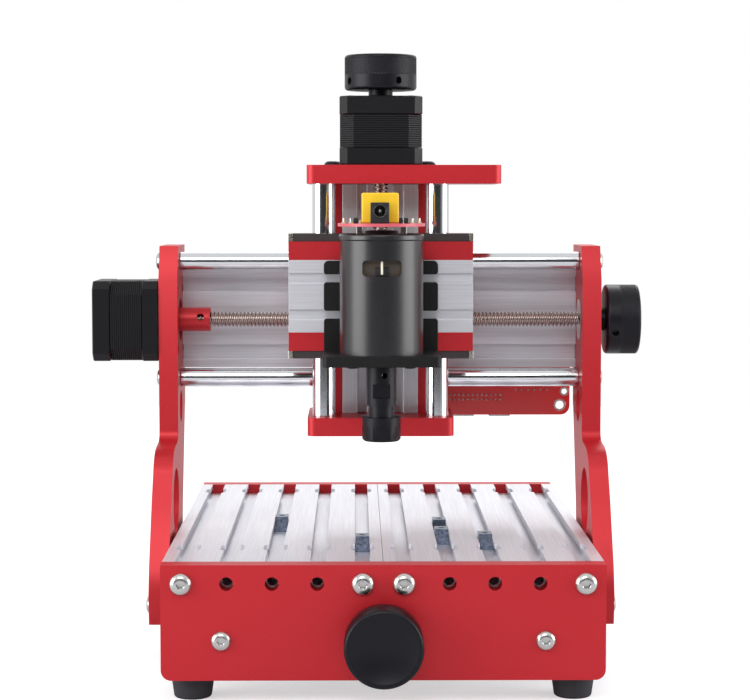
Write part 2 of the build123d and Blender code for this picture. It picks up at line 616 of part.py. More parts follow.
def crossbar():
    """Bar under the bed that joins the side plates and rides on the Y rods."""
    body = box((-SIDE_IN, SIDE_IN), (CROSSBAR_FRONT, CROSSBAR_REAR),
               (CROSSBAR_BOTTOM, CROSSBAR_BOTTOM + CROSSBAR_HEIGHT))
    through = (CROSSBAR_FRONT, CROSSBAR_REAR)
    for side in (-1, 1):
        body -= bar("Y", BEARING_OUT, *through, (side * Y_ROD_X, Y_AXIS_Z))
        for y, z in crossbar_screws():
            body -= bar("X", M5["shank"], side * SIDE_IN, side * (SIDE_IN - BAR_TAP), (y, z))
    body -= bar("Y", NUT_BODY_DIA, *through, (0, Y_AXIS_Z))
    body -= bar("Y", COUPLING_DIA + COUPLING_FREE, CROSSBAR_FRONT + 15.0, CROSSBAR_REAR, (0, Y_AXIS_Z))
    body -= bar("Y", NUT_FLANGE_DIA, CROSSBAR_FRONT, CROSSBAR_FRONT + NUT_FLANGE, (0, Y_AXIS_Z))
    return body


def lead_nut(axis, way, seat, body_length, at):
    """Flanged lead-screw nut: the flange's inner face lies on seat and the body goes along way."""
    nut = (bar(axis, NUT_FLANGE_DIA, seat - way * NUT_FLANGE, seat, at)
           + bar(axis, NUT_BODY_DIA, seat, seat + way * body_length, at))
    return nut - bar(axis, SCREW_DIA + 2 * RUN, seat - way * 10.0, seat + way * (body_length + 5.0), at)


def standoff_places():
    left = CONTROL_RIGHT - CONTROL_WIDTH
    return [(x, X_AXIS_Z + z) for x in (left + 10.0, CONTROL_RIGHT - 12.0) for z in (-18.0, 20.0)]


def control_board():
    """Control board on the back of the beam, with rounded corners and plated mounting holes."""
    left, top = CONTROL_RIGHT - CONTROL_WIDTH, CONTROL_BOTTOM + CONTROL_HEIGHT
    board = box((left, CONTROL_RIGHT), (CONTROL_Y, CONTROL_Y + CONTROL_THICK), (CONTROL_BOTTOM, top))
    board = fillet(board.edges().filter_by(Axis.Y), 5.0)
    through = (CONTROL_Y, CONTROL_Y + CONTROL_THICK)
    for x in (left + 5.5, CONTROL_RIGHT - 5.5):
        board -= bar("Y", 4.6, *through, (x, CONTROL_BOTTOM + 5.5))
    board -= bar("Y", 3.1, *through, (CONTROL_RIGHT - 3.0, CONTROL_BOTTOM + 13.0))
    for place in standoff_places():
        board -= bar("Y", M3["hole"], *through, place)
    return board


def board_parts():
    """Parts on the rear of the control board: driver heat sinks, capacitor, sockets and terminals."""
    face = CONTROL_Y + CONTROL_THICK
    left = CONTROL_RIGHT - CONTROL_WIDTH
    parts = []
    low = CONTROL_BOTTOM
    for i in range(3):
        x = left + 22.0 + 24.0 * i
        base = box((x - 8.0, x + 8.0), (face, face + 3.0), (low + 42.0, low + 62.0))
        for fin in range(5):
            z = low + 43.0 + 4.2 * fin
            base += box((x - 8.0, x + 8.0), (face + 3.0, face + 9.0), (z, z + 1.6))
        parts.append(base)
        parts.append(box((x - 5.0, x + 5.0), (face, face + 8.5), (low + 66.0, low + 72.0)))
    capacitor_dia, capacitor_height = 10.0, 12.0
    parts.append(bar("Y", capacitor_dia, face, face + capacitor_height, (left + 20.0, low + 24.0)))
    usb_socket = box((left + 35.0, left + 47.0), (face, face + 10.8), (low - 1.0, low + 15.0))
    power_socket = box((left + 55.0, left + 67.0), (face, face + 11.0), (low - 1.0, low + 13.0))
    terminal = box((left + 74.0, left + 84.0), (face, face + 10.0), (low + 20.0, low + 28.0))
    parts += [usb_socket, power_socket, terminal]
    return parts


def make_gantry():
    save("side_plate_left", side_plate(-1))
    save("side_plate_right", side_plate(1))
    save("x_beam", beam())
    save("lower_crossbar", crossbar())
    rods, screws = [], []
    for z in X_RODS_Z:
        rod = bar("X", ROD_DIA, -SIDE_IN, SIDE_IN, (X_AXIS_Y, z))
        for side in (-1, 1):
            rod -= bar("X", M5["shank"], side * SIDE_IN, side * (SIDE_IN - ROD_TAP), (X_AXIS_Y, z))
        rods.append(rod)
    for side in (-1, 1):
        for z in X_RODS_Z:
            screws.append(button_screw(M5, "X", -side, side * SIDE_OUT, SIDE_THICK + 10.0, (X_AXIS_Y, z)))
        for place in crossbar_screws():
            screws.append(button_screw(M5, "X", -side, side * SIDE_OUT, SIDE_THICK + 14.0, place))
        for place in beam_screws():
            screws.append(button_screw(M5, "X", -side, side * (SIDE_OUT - M5["height"] - 0.5),
                                       SIDE_THICK - M5["height"] + 13.0, place))
    save("x_guide_rods", *rods)
    screws += motor_screws("X", -1, -SIDE_IN - HEAD_RECESS, SIDE_THICK - HEAD_RECESS + MOTOR_TAP,
                           (X_AXIS_Y, X_AXIS_Z))
    screws += [ring("Y", STANDOFF_DIA, M3["hole"], BEAM_REAR, CONTROL_Y, place)
               for place in standoff_places()]
    save("gantry_fasteners", *screws)
    middle = (CROSSBAR_FRONT + CROSSBAR_REAR) / 2
    ends = (middle - BEARING_LEN / 2, middle + BEARING_LEN / 2)
    bearings = [ring("Y", BEARING_OUT, ROD_DIA + 2 * RUN, *ends, (side * Y_ROD_X, Y_AXIS_Z))
                for side in (-1, 1)]
    bearings.append(ball_bearing("X", SIDE_IN, (X_AXIS_Y, X_AXIS_Z)))
    save("gantry_bearings", *bearings)
    save("y_lead_nut", lead_nut("Y", 1, CROSSBAR_FRONT + NUT_FLANGE, 15.0 - NUT_FLANGE, (0, Y_AXIS_Z)))
    save("control_board", control_board())
    save("board_parts", *board_parts())


# ---------------------------------------------------------------- X carriage and Z frame
def z_plate(x, front, low):
    plate = box(x, (front, CARRIAGE_REAR), (low, low + Z_PLATE))
    return fillet(plate.edges().filter_by(Axis.Z), Z_PLATE_CORNER)


def frame_screw_places():
    x = CARRIAGE_INNER / 2 + CARRIAGE_SIDE / 2
    return [(side * x, y) for side in (-1, 1) for y in (CARRIAGE_REAR - 16.0, CARRIAGE_REAR - 5.5)]


def make_carriage():
    inside = (Z_BOTTOM + Z_PLATE, Z_TOP - Z_PLATE)
    half = CARRIAGE_INNER / 2
    top = z_plate((-Z_TOP_PLATE_LEFT, Z_TOP_PLATE_RIGHT), Z_TOP_PLATE_FRONT, Z_TOP - Z_PLATE)
    bottom = z_plate((-Z_BOTTOM_PLATE_WIDTH / 2, Z_BOTTOM_PLATE_WIDTH / 2), Z_BOTTOM_PLATE_FRONT, Z_BOTTOM)
    seat = Z_PLATE - 3.0
    for side in (-1, 1):
        at = (side * Z_ROD_X, Z_AXIS_Y)
        top -= bar("Z", Z_ROD_DIA, Z_TOP - Z_PLATE, Z_TOP - Z_PLATE + seat, at)
        bottom -= bar("Z", Z_ROD_DIA, Z_BOTTOM + Z_PLATE - seat, Z_BOTTOM + Z_PLATE, at)
    top -= bar("Z", MOTOR_BOSS_DIA + BOSS_FREE, Z_TOP - MOTOR_BOSS - 0.5, Z_TOP, (0, Z_AXIS_Y))
    top -= bar("Z", SCREW_DIA + SCREW_FREE, Z_TOP - Z_PLATE, Z_TOP, (0, Z_AXIS_Y))
    for x, y in corners(MOTOR_HOLE_PITCH):
        top -= bar("Z", M3["hole"], Z_TOP - Z_PLATE, Z_TOP, (x, Z_AXIS_Y + y))
        top -= bar("Z", M3["head"] + 0.4, Z_TOP - Z_PLATE, Z_TOP - Z_PLATE + HEAD_RECESS, (x, Z_AXIS_Y + y))
    bottom -= bar("Z", BALL_OUT, Z_BOTTOM + Z_PLATE - BALL_WIDTH, Z_BOTTOM + Z_PLATE, (0, Z_AXIS_Y))
    extrusion = box((-half, half), (CARRIAGE_FRONT, CARRIAGE_FRONT + CARRIAGE_EXTRUSION_THICK), inside)
    for side in (-1, 1):
        x = side * half * 0.48
        extrusion -= box((x - 2.7, x + 2.7), (CARRIAGE_FRONT - 1, CARRIAGE_FRONT + 3.5),
                         (inside[0] - 1, inside[1] + 1))
    sides = []
    for side in (-1, 1):
        across = (side * half, side * (half + CARRIAGE_SIDE))
        plate = box(across, (CARRIAGE_FRONT, CARRIAGE_REAR), inside)
        for z in X_RODS_Z:
            plate -= bar("X", BEARING_OUT, *across, (X_AXIS_Y, z))
        hole = COUPLING_DIA + COUPLING_FREE if side < 0 else NUT_BODY_DIA
        plate -= bar("X", hole, *across, (X_AXIS_Y, X_AXIS_Z))
        sides.append(plate)
    screws = []
    for place in frame_screw_places():
        top -= bar("Z", M5["hole"], Z_TOP - Z_PLATE, Z_TOP, place)
        bottom -= bar("Z", M5["hole"], Z_BOTTOM, Z_BOTTOM + Z_PLATE, place)
        sides = [plate - bar("Z", M5["shank"], inside[0], inside[0] + 7.0, place)
                 - bar("Z", M5["shank"], inside[1] - 16.0, inside[1], place) for plate in sides]
        screws.append(button_screw(M5, "Z", -1, Z_TOP, Z_PLATE + 14.0, place))
        screws.append(button_screw(M5, "Z", 1, Z_BOTTOM, Z_PLATE + 6.0, place))
    save("z_top_plate", top)
    save("z_bottom_plate", bottom)
    save("carriage_extrusion", extrusion)
    save("carriage_side_plates", *sides)
    screws += motor_screws("Z", 1, Z_TOP - Z_PLATE + HEAD_RECESS, Z_PLATE - HEAD_RECESS + MOTOR_TAP,
                           (0, Z_AXIS_Y))
    save("z_frame_screws", *screws)
    save("z_guide_rods", *[bar("Z", Z_ROD_DIA, Z_BOTTOM + Z_PLATE - seat, Z_TOP - Z_PLATE + seat,
                               (side * Z_ROD_X, Z_AXIS_Y)) for side in (-1, 1)])
    bearings = [ring("X", BEARING_OUT, ROD_DIA + 2 * RUN, -BEARING_LEN / 2, BEARING_LEN / 2, (X_AXIS_Y, z))
                for z in X_RODS_Z]
    bearings.append(ball_bearing("Z", inside[0] - BALL_WIDTH, (0, Z_AXIS_Y)))
    save("carriage_bearings", *bearings)
    save("x_lead_nut", lead_nut("X", 1, half, CARRIAGE_SIDE, (X_AXIS_Y, X_AXIS_Z)))


# ---------------------------------------------------------------- slider and spindle
def slider_block(low, high):
    """A slice of the slider with the bores of the Z bearings."""
    body = box((-SLIDER_WIDTH / 2, SLIDER_WIDTH / 2), (SLIDER_FRONT, SLIDER_REAR), (low, high))
    for side in (-1, 1):
        body -= bar("Z", Z_BEARING_OUT, low, high, (side * Z_ROD_X, Z_AXIS_Y))
    return body


def retainer(low):
    """Thin plate that keeps the Z bearings in the slider."""
    deep = (SLIDER_FRONT + RETAINER_INSET, SLIDER_REAR - RETAINER_INSET)
    body = box((-RETAINER_WIDTH / 2, RETAINER_WIDTH / 2), deep, (low, low + RETAINER_THICK))
    for side in (-1, 1):
        body -= bar("Z", Z_ROD_DIA + RETAINER_FREE, low, low + RETAINER_THICK, (side * Z_ROD_X, Z_AXIS_Y))
    return body - bar("Z", SCREW_DIA + RETAINER_FREE, low, low + RETAINER_THICK, (0, Z_AXIS_Y))


def bracket_screw_places():
    return [(side * BRACKET_SCREW_X, z) for side in (-1, 1) for z in SLIDER_SLOTS_Z]


def spindle_bracket():
    """Black L bracket: a slotted back plate on the slider and a floor that carries the motor."""
    half = BRACKET_WIDTH / 2
    back_y = (SLIDER_FRONT - BRACKET_BACK, SLIDER_FRONT)
    back = box((-half, half), back_y, (BRACKET_BOTTOM, BRACKET_TOP))
    for z in SLIDER_SLOTS_Z:
        for side in (-1, 1):
            back -= box((side * (half + 1), side * (half - BRACKET_NOTCH_LENGTH)),
                        (back_y[0] - 1, back_y[1] + 1), (z - BRACKET_NOTCH / 2, z + BRACKET_NOTCH / 2))
    outer = [e for e in back.edges().filter_by(Axis.Y) if abs(e.center().X) > half - 0.1]
    back = fillet([e for e in outer if e.center().Z > BRACKET_TOP - 0.1], BRACKET_CORNER)
    outer = [e for e in back.edges().filter_by(Axis.Y) if abs(e.center().X) > half - 0.1]
    fingers = [e for e in outer if CAN_BOTTOM < e.center().Z < BRACKET_TOP - BRACKET_CORNER - 0.1]
    back = fillet(fingers, BRACKET_FINGER_CORNER)
    floor_front = SPINDLE_Y - CAN_DIA / 2 - BRACKET_FLOOR_LIP
    floor = box((-half, half), (floor_front, SLIDER_FRONT), (BRACKET_BOTTOM, CAN_BOTTOM))
    floor = fillet([e for e in floor.edges().filter_by(Axis.Z) if e.center().Y < SPINDLE_Y], BRACKET_CORNER)
    bracket = back + floor
    for x, z in bracket_screw_places():
        bracket -= bar("Y", M4["hole"], *back_y, (x, z))
    bracket -= bar("Z", SPINDLE_BOSS_DIA + 0.2, BRACKET_BOTTOM, CAN_BOTTOM, (0, SPINDLE_Y))
    for side in (-1, 1):
        bracket -= bar("Z", M4["hole"], BRACKET_BOTTOM, CAN_BOTTOM, (side * BRACKET_SCREW_X, SPINDLE_Y))
    return bracket


def spindle_can():
    """Motor can: a steel cup with its boss down, two vent windows and tapped holes in its face."""
    at = (0, SPINDLE_Y)
    top = CAN_BOTTOM + CAN_LENGTH
    can = bar("Z", CAN_DIA, CAN_BOTTOM, top, at)
    can += bar("Z", SPINDLE_BOSS_DIA, CAN_BOTTOM - SPINDLE_BOSS, CAN_BOTTOM, at)
    can -= bar("Z", CAN_DIA - 2 * CAN_WALL, CAN_BOTTOM + CAN_FACE, top, at)
    can -= bar("Z", SPINDLE_SHAFT_DIA + 2 * RUN, CAN_BOTTOM - SPINDLE_BOSS, CAN_BOTTOM + CAN_FACE, at)
    vent_top = CAN_TOP - VENT_TOP_DROP
    window = box((-VENT_WIDTH / 2, VENT_WIDTH / 2), (SPINDLE_Y - CAN_DIA, SPINDLE_Y + CAN_DIA),
                 (vent_top - VENT_HEIGHT, vent_top))
    can -= fillet(window.edges().filter_by(Axis.Y), VENT_CORNER)
    for side in (-1, 1):
        can -= bar("Z", M4["shank"], CAN_BOTTOM, CAN_BOTTOM + CAN_FACE, (side * BRACKET_SCREW_X, SPINDLE_Y))
    return can


def spindle_end_cap():
    """Rim and end cap that closes the can, with the rear bearing boss."""
    at = (0, SPINDLE_Y)
    low = CAN_BOTTOM + CAN_LENGTH
    cap = bar("Z", RIM_DIA, low, CAN_TOP, at)
    cap = fillet(cap.edges().group_by(Axis.Z)[-1], 1.0)
    return cap - bar("Z", SPINDLE_SHAFT_DIA + 2 * RUN, low, low + 2.0, at)


def dc_jack(x, y, low):
    """Power socket that faces the front."""
    body = box((x - JACK_WIDTH / 2, x + JACK_WIDTH / 2), (y, y + JACK_LENGTH), (low, low + JACK_HEIGHT))
    return body - bar("Y", JACK_BORE, y, y + JACK_BORE_LENGTH, (x, low + JACK_BORE_Z))


def make_slider():
    core_low, core_high = SLIDER_BOTTOM + SLIDER_CAP, SLIDER_BOTTOM + SLIDER_CAP + SLIDER_CORE
    core = slider_block(core_low, core_high)
    core -= bar("Z", NUT_FLANGE_DIA + 0.6, core_low, core_high, (0, Z_AXIS_Y))
    for z in SLIDER_SLOTS_Z:
        core -= box((-SLIDER_WIDTH / 2 - 1, SLIDER_WIDTH / 2 + 1),
                    (SLIDER_FRONT - 1, SLIDER_FRONT + SLIDER_SLOT_DEPTH),
                    (z - SLIDER_SLOT_MOUTH / 2, z + SLIDER_SLOT_MOUTH / 2))
    for x, z in bracket_screw_places():
        core -= bar("Y", M4["shank"], SLIDER_FRONT, SLIDER_FRONT + 6.0, (x, z))
    on_screw = (0, Z_AXIS_Y)
    top_cap = slider_block(core_high, SLIDER_TOP)
    top_cap -= bar("Z", SCREW_DIA + SCREW_FREE, core_high, SLIDER_TOP, on_screw)
    bottom_cap = slider_block(SLIDER_BOTTOM, core_low)
    bottom_cap -= bar("Z", NUT_BODY_DIA, SLIDER_BOTTOM, core_low, on_screw)
    save("slider_extrusion", core)
    save("slider_caps", top_cap, bottom_cap)
    save("slider_retainers", retainer(SLIDER_TOP), retainer(SLIDER_BOTTOM - RETAINER_THICK))
    save("z_linear_bearings", *[ring("Z", Z_BEARING_OUT, Z_ROD_DIA + 2 * RUN, SLIDER_BOTTOM, SLIDER_TOP,
                                     (side * Z_ROD_X, Z_AXIS_Y)) for side in (-1, 1)])
    save("z_lead_nut", lead_nut("Z", -1, core_low, SLIDER_CAP, (0, Z_AXIS_Y)))
    save("spindle_bracket", spindle_bracket())
    screws = [button_screw(M4, "Y", 1, SLIDER_FRONT - BRACKET_BACK, BRACKET_BACK + 5.0, place)
              for place in bracket_screw_places()]
    screws += [button_screw(M4, "Z", 1, BRACKET_BOTTOM, BRACKET_FLOOR + 3.0,
                            (side * BRACKET_SCREW_X, SPINDLE_Y)) for side in (-1, 1)]
    save("bracket_screws", *screws)
    save("spindle_can", spindle_can())
    save("spindle_end_cap", spindle_end_cap())
    board = ring("Z", BOARD_DIA, SPINDLE_SHAFT_DIA, BOARD_Z, BOARD_Z + BOARD_THICK, (0, SPINDLE_Y))
    save("spindle_board", board)
    on_board = BOARD_Z + BOARD_THICK
    capacitor = box((-10.0, 8.6), (SPINDLE_Y - CAPACITOR_DEPTH / 2, SPINDLE_Y + CAPACITOR_DEPTH / 2),
                    (on_board, on_board + CAPACITOR_HEIGHT))
    posts = [bar("Z", LUG_DIA, CAN_TOP, BOARD_Z, (side * LUG_X, SPINDLE_Y)) for side in (-1, 1)]
    save("spindle_board_parts", fillet(capacitor.edges(), 0.8), *posts)
    save("dc_jack", dc_jack(JACK_X, SPINDLE_Y - JACK_FRONT, on_board))


def make_spindle_rotor():
    at = (0, SPINDLE_Y)
    shaft = bar("Z", SPINDLE_SHAFT_DIA, CHUCK_TOP - CHUCK_SHAFT_BORE, CAN_BOTTOM + CAN_LENGTH + 1.5, at)
    shaft += bar("Z", CAN_DIA - 2 * CAN_WALL - 7.0, CAN_BOTTOM + 10.0, CAN_BOTTOM + 38.0, at)
    shaft += bar("Z", 14.0, CAN_BOTTOM + 40.0, CAN_BOTTOM + 54.0, at)
    save("spindle_shaft", shaft)
    chuck = bar("Z", CHUCK_DIA, CHUCK_BOTTOM, CHUCK_TOP, at)
    chuck = fillet(chuck.edges().group_by(Axis.Z)[-1], 0.8)
    chuck += bar("Z", CHUCK_NECK_DIA, NECK_BOTTOM, CHUCK_BOTTOM, at)
    chuck += bar("Z", COLLET_THREAD_DIA, NECK_BOTTOM - COLLET_THREAD, NECK_BOTTOM, at)
    flat_z = (CHUCK_BOTTOM + 3.8, CHUCK_BOTTOM + 11.0)
    for side in (-1, 1):
        y = SPINDLE_Y + side * (CHUCK_DIA / 2 - CHUCK_FLAT)
        chuck -= box((-CHUCK_DIA, CHUCK_DIA), (y, y + side * 5.0), flat_z)
    chuck -= bar("Z", SPINDLE_SHAFT_DIA, CHUCK_TOP - CHUCK_SHAFT_BORE, CHUCK_TOP, at)
    chuck -= bar("Z", COLLET_DIA, NECK_BOTTOM - COLLET_THREAD - 1.0, NECK_BOTTOM + CHUCK_NECK, at)
    chuck -= bar("Y", GRUB_DIA, SPINDLE_Y - CHUCK_DIA, SPINDLE_Y, (1.4, CHUCK_TOP - 4.6))
    save("collet_chuck", chuck)
    nut = bar("Z", COLLET_NUT_DIA, COLLET_TIP, NECK_BOTTOM, at)
    nut = chamfer(nut.edges().group_by(Axis.Z)[0], 1.0)
    flats = RegularPolygon(COLLET_NUT_FLATS / math.sqrt(3), 6)
    hexagon = Pos(0, SPINDLE_Y, COLLET_TIP) * extrude(flats, amount=COLLET_NUT_HEX)
    collar = bar("Z", COLLET_NUT_DIA, COLLET_TIP + COLLET_NUT_HEX, NECK_BOTTOM, at)
    nut = (nut & hexagon) + collar
    nut -= bar("Z", COLLET_THREAD_DIA, NECK_BOTTOM - COLLET_THREAD, NECK_BOTTOM, at)
    nut -= bar("Z", COLLET_DIA, COLLET_TIP - 1.0, NECK_BOTTOM, at)
    save("collet_nut", nut)
    low = COLLET_TIP - COLLET_TIP_OUT
    collet = ring("Z", COLLET_DIA, COLLET_BORE_DIA, low, low + COLLET_LENGTH, at)
    for turn in (0, 90):
        slit = Rot(0, 0, turn) * Box(COLLET_SLIT, COLLET_DIA + 1.0, 2 * COLLET_SLIT_REACH)
        collet -= Pos(0, SPINDLE_Y, low) * slit
    save("collet", collet)


def main():
    os.makedirs("parts", exist_ok=True)
    make_base()
    make_y_drive()
    make_gantry()
    make_x_drive()
    make_carriage()
    make_z_drive()
    make_slider()
    make_spindle_rotor()


main()
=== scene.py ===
"""Looks for a desktop CNC router: new surfaces and finishes around the fixed frame of machined parts."""

import json
from math import cos, pi, radians, sin

import bmesh
import bpy
import numpy as np
from bpy.props import FloatProperty, FloatVectorProperty, IntProperty, PointerProperty
from bpy.types import Operator, Panel, PropertyGroup
from mathutils import Matrix, Vector

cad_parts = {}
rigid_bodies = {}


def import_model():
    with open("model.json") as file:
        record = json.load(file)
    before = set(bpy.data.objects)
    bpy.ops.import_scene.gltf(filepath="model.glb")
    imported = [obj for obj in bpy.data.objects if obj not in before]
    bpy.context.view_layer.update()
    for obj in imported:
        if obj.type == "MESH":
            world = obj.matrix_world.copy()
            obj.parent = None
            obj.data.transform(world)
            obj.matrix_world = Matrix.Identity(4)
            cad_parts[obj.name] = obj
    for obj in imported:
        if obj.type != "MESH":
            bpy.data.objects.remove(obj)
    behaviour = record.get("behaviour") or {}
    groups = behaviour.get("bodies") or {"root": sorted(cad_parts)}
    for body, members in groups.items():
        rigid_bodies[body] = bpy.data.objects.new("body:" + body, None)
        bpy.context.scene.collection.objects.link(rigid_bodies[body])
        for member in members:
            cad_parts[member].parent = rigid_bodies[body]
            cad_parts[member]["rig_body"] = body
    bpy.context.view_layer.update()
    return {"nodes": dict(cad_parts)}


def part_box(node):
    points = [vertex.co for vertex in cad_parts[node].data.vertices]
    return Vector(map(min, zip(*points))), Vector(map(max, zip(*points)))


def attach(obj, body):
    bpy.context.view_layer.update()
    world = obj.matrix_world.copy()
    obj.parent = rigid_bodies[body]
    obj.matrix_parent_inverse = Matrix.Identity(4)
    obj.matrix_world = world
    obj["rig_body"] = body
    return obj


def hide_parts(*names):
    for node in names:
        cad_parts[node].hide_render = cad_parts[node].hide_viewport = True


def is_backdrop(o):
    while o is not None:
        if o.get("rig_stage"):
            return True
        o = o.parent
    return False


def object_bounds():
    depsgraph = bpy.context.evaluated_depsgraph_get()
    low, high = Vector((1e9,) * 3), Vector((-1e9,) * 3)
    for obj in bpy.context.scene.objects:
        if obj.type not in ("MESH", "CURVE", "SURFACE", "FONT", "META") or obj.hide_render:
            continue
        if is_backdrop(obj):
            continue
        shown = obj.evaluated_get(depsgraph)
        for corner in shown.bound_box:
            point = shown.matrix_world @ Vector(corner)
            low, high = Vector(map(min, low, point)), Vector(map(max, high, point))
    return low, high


bl_info = {
    "name": "Desktop CNC Router",
    "version": (1, 0, 0),
    "blender": (4, 5, 0),
    "location": "View3D > Sidebar > CNC Router",
    "description": "Builds the visible surfaces and finishes of a desktop CNC router",
    "category": "Object",
}

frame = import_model()
NODES = frame["nodes"]
MM = 0.001
WELD = 2e-6                 # points closer than this are one point
THREAD_ROWS = 10            # rings of points per thread pitch
FLOOR_RADIUS = 1.3
VENT_DROP = 16.75 * MM      # middle of the spindle's windows, below the end cap's top
HEAD_HEIGHT = 0.62          # button-head height over its radius
SHANK_RADIUS = 0.45         # screw shank over the head's radius
SPACER_BORE = 0.58          # spacer bore over its radius
# Turn of the two grub-screw holes of each handwheel, in degrees about its axis.
HOLE_TURNS = {"X": (200, 290), "Y": (25, 115), "Z": (210, 299)}
# Soft lights: name, place, side length in metres and power in watts.
SOFTBOXES = (("left softbox", (-1.2, -0.6, 0.3), 1.0, 14.0), ("right softbox", (1.25, -0.3, 0.3), 0.9, 10.0),
             ("front softbox", (-0.15, -1.45, 1.1), 0.8, 9.0), ("rear softbox", (0.2, 1.3, 1.3), 0.9, 6.0))
# Rows of solder joints on the control board: height, count, start and pitch in millimetres.
SOLDER_ROWS = ((11.2, 22, 8.0, 2.54), (8.6, 22, 8.0, 2.54), (14.0, 6, 70.0, 3.5), (38.0, 8, 12.0, 2.54),
               (38.0, 8, 36.0, 2.54), (38.0, 8, 60.0, 2.54), (63.0, 8, 12.0, 2.54), (63.0, 8, 36.0, 2.54),
               (63.0, 8, 60.0, 2.54))


def hex_colour(value):
    """sRGB hex to linear RGB: each channel is divided by 12.92 below 0.04045, else raised to 2.4."""
    channels = [int(value[i:i + 2], 16) / 255 for i in (1, 3, 5)]
    return [c / 12.92 if c <= 0.04045 else ((c + 0.055) / 1.055) ** 2.4 for c in channels]


# ---------------------------------------------------------------- surfaces
AXES = {"X": ((0, 1, 0), (0, 0, 1), (1, 0, 0)), "Y": ((0, 0, 1), (1, 0, 0), (0, 1, 0)),
        "Z": ((1, 0, 0), (0, 1, 0), (0, 0, 1))}


def middle(node):
    """Centre of a CAD node's box."""
    low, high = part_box(node)
    return np.array((low + high) / 2)


def corners_of(node):
    """Low and high corners of a CAD node's box, as arrays."""
    return tuple(np.array(corner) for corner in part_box(node))


def triangles(node):
    """Points and triangles of a CAD node's mesh."""
    source = NODES[node].data
    points = np.empty(len(source.vertices) * 3)
    source.vertices.foreach_get("co", points)
    faces = np.empty(len(source.polygons) * 3, np.int32)
    source.polygons.foreach_get("vertices", faces)
    return points.reshape(-1, 3), faces.reshape(-1, 3)


def on_axis(points, axis, at, way=1):
    """Points with their third value along an axis, moved to at; way -1 turns them to face the other way."""
    side, up, along = (np.array(v, float) for v in AXES[axis])
    return (np.asarray(at, float) + points[..., :1] * side * way + points[..., 1:2] * up
            + points[..., 2:] * along * way)


def grid(points, first_material=0):
    """Quads over rows of points; every row closes on itself."""
    rows, columns = points.shape[:2]
    row = np.arange(rows - 1)[:, None] * columns
    column = np.arange(columns)[None, :]
    after = (column + 1) % columns
    quads = np.stack([row + column, row + after, row + columns + after, row + columns + column], -1)
    return points.reshape(-1, 3), quads.reshape(-1, 4), first_material


def lathe(profile, columns=48, material=0, bumps=None):
    """Surface of revolution: radius and height follow the profile while the angle goes once round.
    bumps gives a change of radius for every angle and height."""
    profile = np.asarray(profile, float)
    angle = np.linspace(0, 2 * pi, columns, endpoint=False)[None, :]
    radius = profile[:, :1] + np.zeros_like(angle)
    height = profile[:, 1:] + np.zeros_like(angle)
    if bumps is not None:
        radius = radius + bumps(angle + np.zeros_like(radius), height) * (radius > 0)
    return grid(np.stack([radius * np.cos(angle), radius * np.sin(angle), height], -1), material)


def turned_bar(radius, low, high, edge, columns=48, material=0):
    """Closed round bar with a chamfer at both ends."""
    return lathe([(0, low), (radius - edge, low), (radius, low + edge), (radius, high - edge),
                  (radius - edge, high), (0, high)], columns, material)


def tube(outer, inner, low, high, edge, columns=48, material=0):
    """Closed ring: its profile is a rectangle with chamfered corners, carried round the axis."""
    return lathe([(inner, low + edge), (inner + edge, low), (outer - edge, low), (outer, low + edge),
                  (outer, high - edge), (outer - edge, high), (inner + edge, high), (inner, high - edge),
                  (inner, low + edge)], columns, material)


def rounded_outline(width, depth, corner, steps=6):
    """Rectangle outline with quarter-circle corners, anticlockwise about 0."""
    turn = np.linspace(0, pi / 2, steps)
    quarters = []
    for start, x, y in ((0, 1, 1), (1, -1, 1), (2, -1, -1), (3, 1, -1)):
        angle = turn + start * pi / 2
        quarters.append(np.stack([x * (width / 2 - corner) + corner * np.cos(angle),
                                  y * (depth / 2 - corner) + corner * np.sin(angle)], -1))
    return np.concatenate(quarters)


def cut_outline(size, cut):
    """Square outline with its corners cut off at 45 degrees, anticlockwise about 0."""
    half, inner = size / 2, size / 2 - cut
    corners = [(half, -inner), (half, inner), (inner, half), (-inner, half),
               (-half, inner), (-half, -inner), (-inner, -half), (inner, -half)]
    return np.array(corners, float)


def stacked(outline, levels, material=0):
    """Closed prism: the outline is carried up through levels of height and inset, then closed to its middle.
    An inset moves each point towards the middle by the same distance along each side's direction."""
    outline = np.asarray(outline, float)
    reach = np.abs(outline).max(0)
    rings = [np.column_stack([outline * 0, np.full(len(outline), levels[0][0])])]
    for height, inset in levels:
        scale = (reach - inset) / reach
        rings.append(np.column_stack([outline * scale, np.full(len(outline), height)]))
    rings.append(np.column_stack([outline * 0, np.full(len(outline), levels[-1][0])]))
    return grid(np.stack(rings), material)


def block(size, edge, centre, material=0, corner=None):
    """Box with rounded uprights and broken edges, about centre, as a stacked rounded outline."""
    width, depth, height = size
    shape = rounded_outline(width, depth, corner or edge, 4)
    levels = [(-height / 2, edge), (-height / 2 + edge, 0), (height / 2 - edge, 0), (height / 2, edge)]
    points, quads, slot = stacked(shape, levels, material)
    return points + np.asarray(centre, float), quads, slot


def moved(surface, offset):
    """A surface shifted by an offset."""
    points, quads, slot = surface
    return points + np.asarray(offset, float), quads, slot


def placed(surfaces, axis, at, way=1):
    """Surfaces made along the third value, turned on to an axis and moved to at."""
    return [(on_axis(points, axis, at, way), quads, slot) for points, quads, slot in surfaces]


def finish_mesh(mesh, sharp):
    """Welds doubles, drops flat faces, points faces outwards and keeps edges over the sharp angle crisp."""
    work = bmesh.new()
    work.from_mesh(mesh)
    bmesh.ops.remove_doubles(work, verts=work.verts, dist=WELD)
    bmesh.ops.dissolve_degenerate(work, edges=work.edges, dist=1e-6)
    bmesh.ops.recalc_face_normals(work, faces=work.faces)
    work.to_mesh(mesh)
    work.free()
    mesh.shade_smooth()
    mesh.set_sharp_from_angle(angle=radians(sharp))


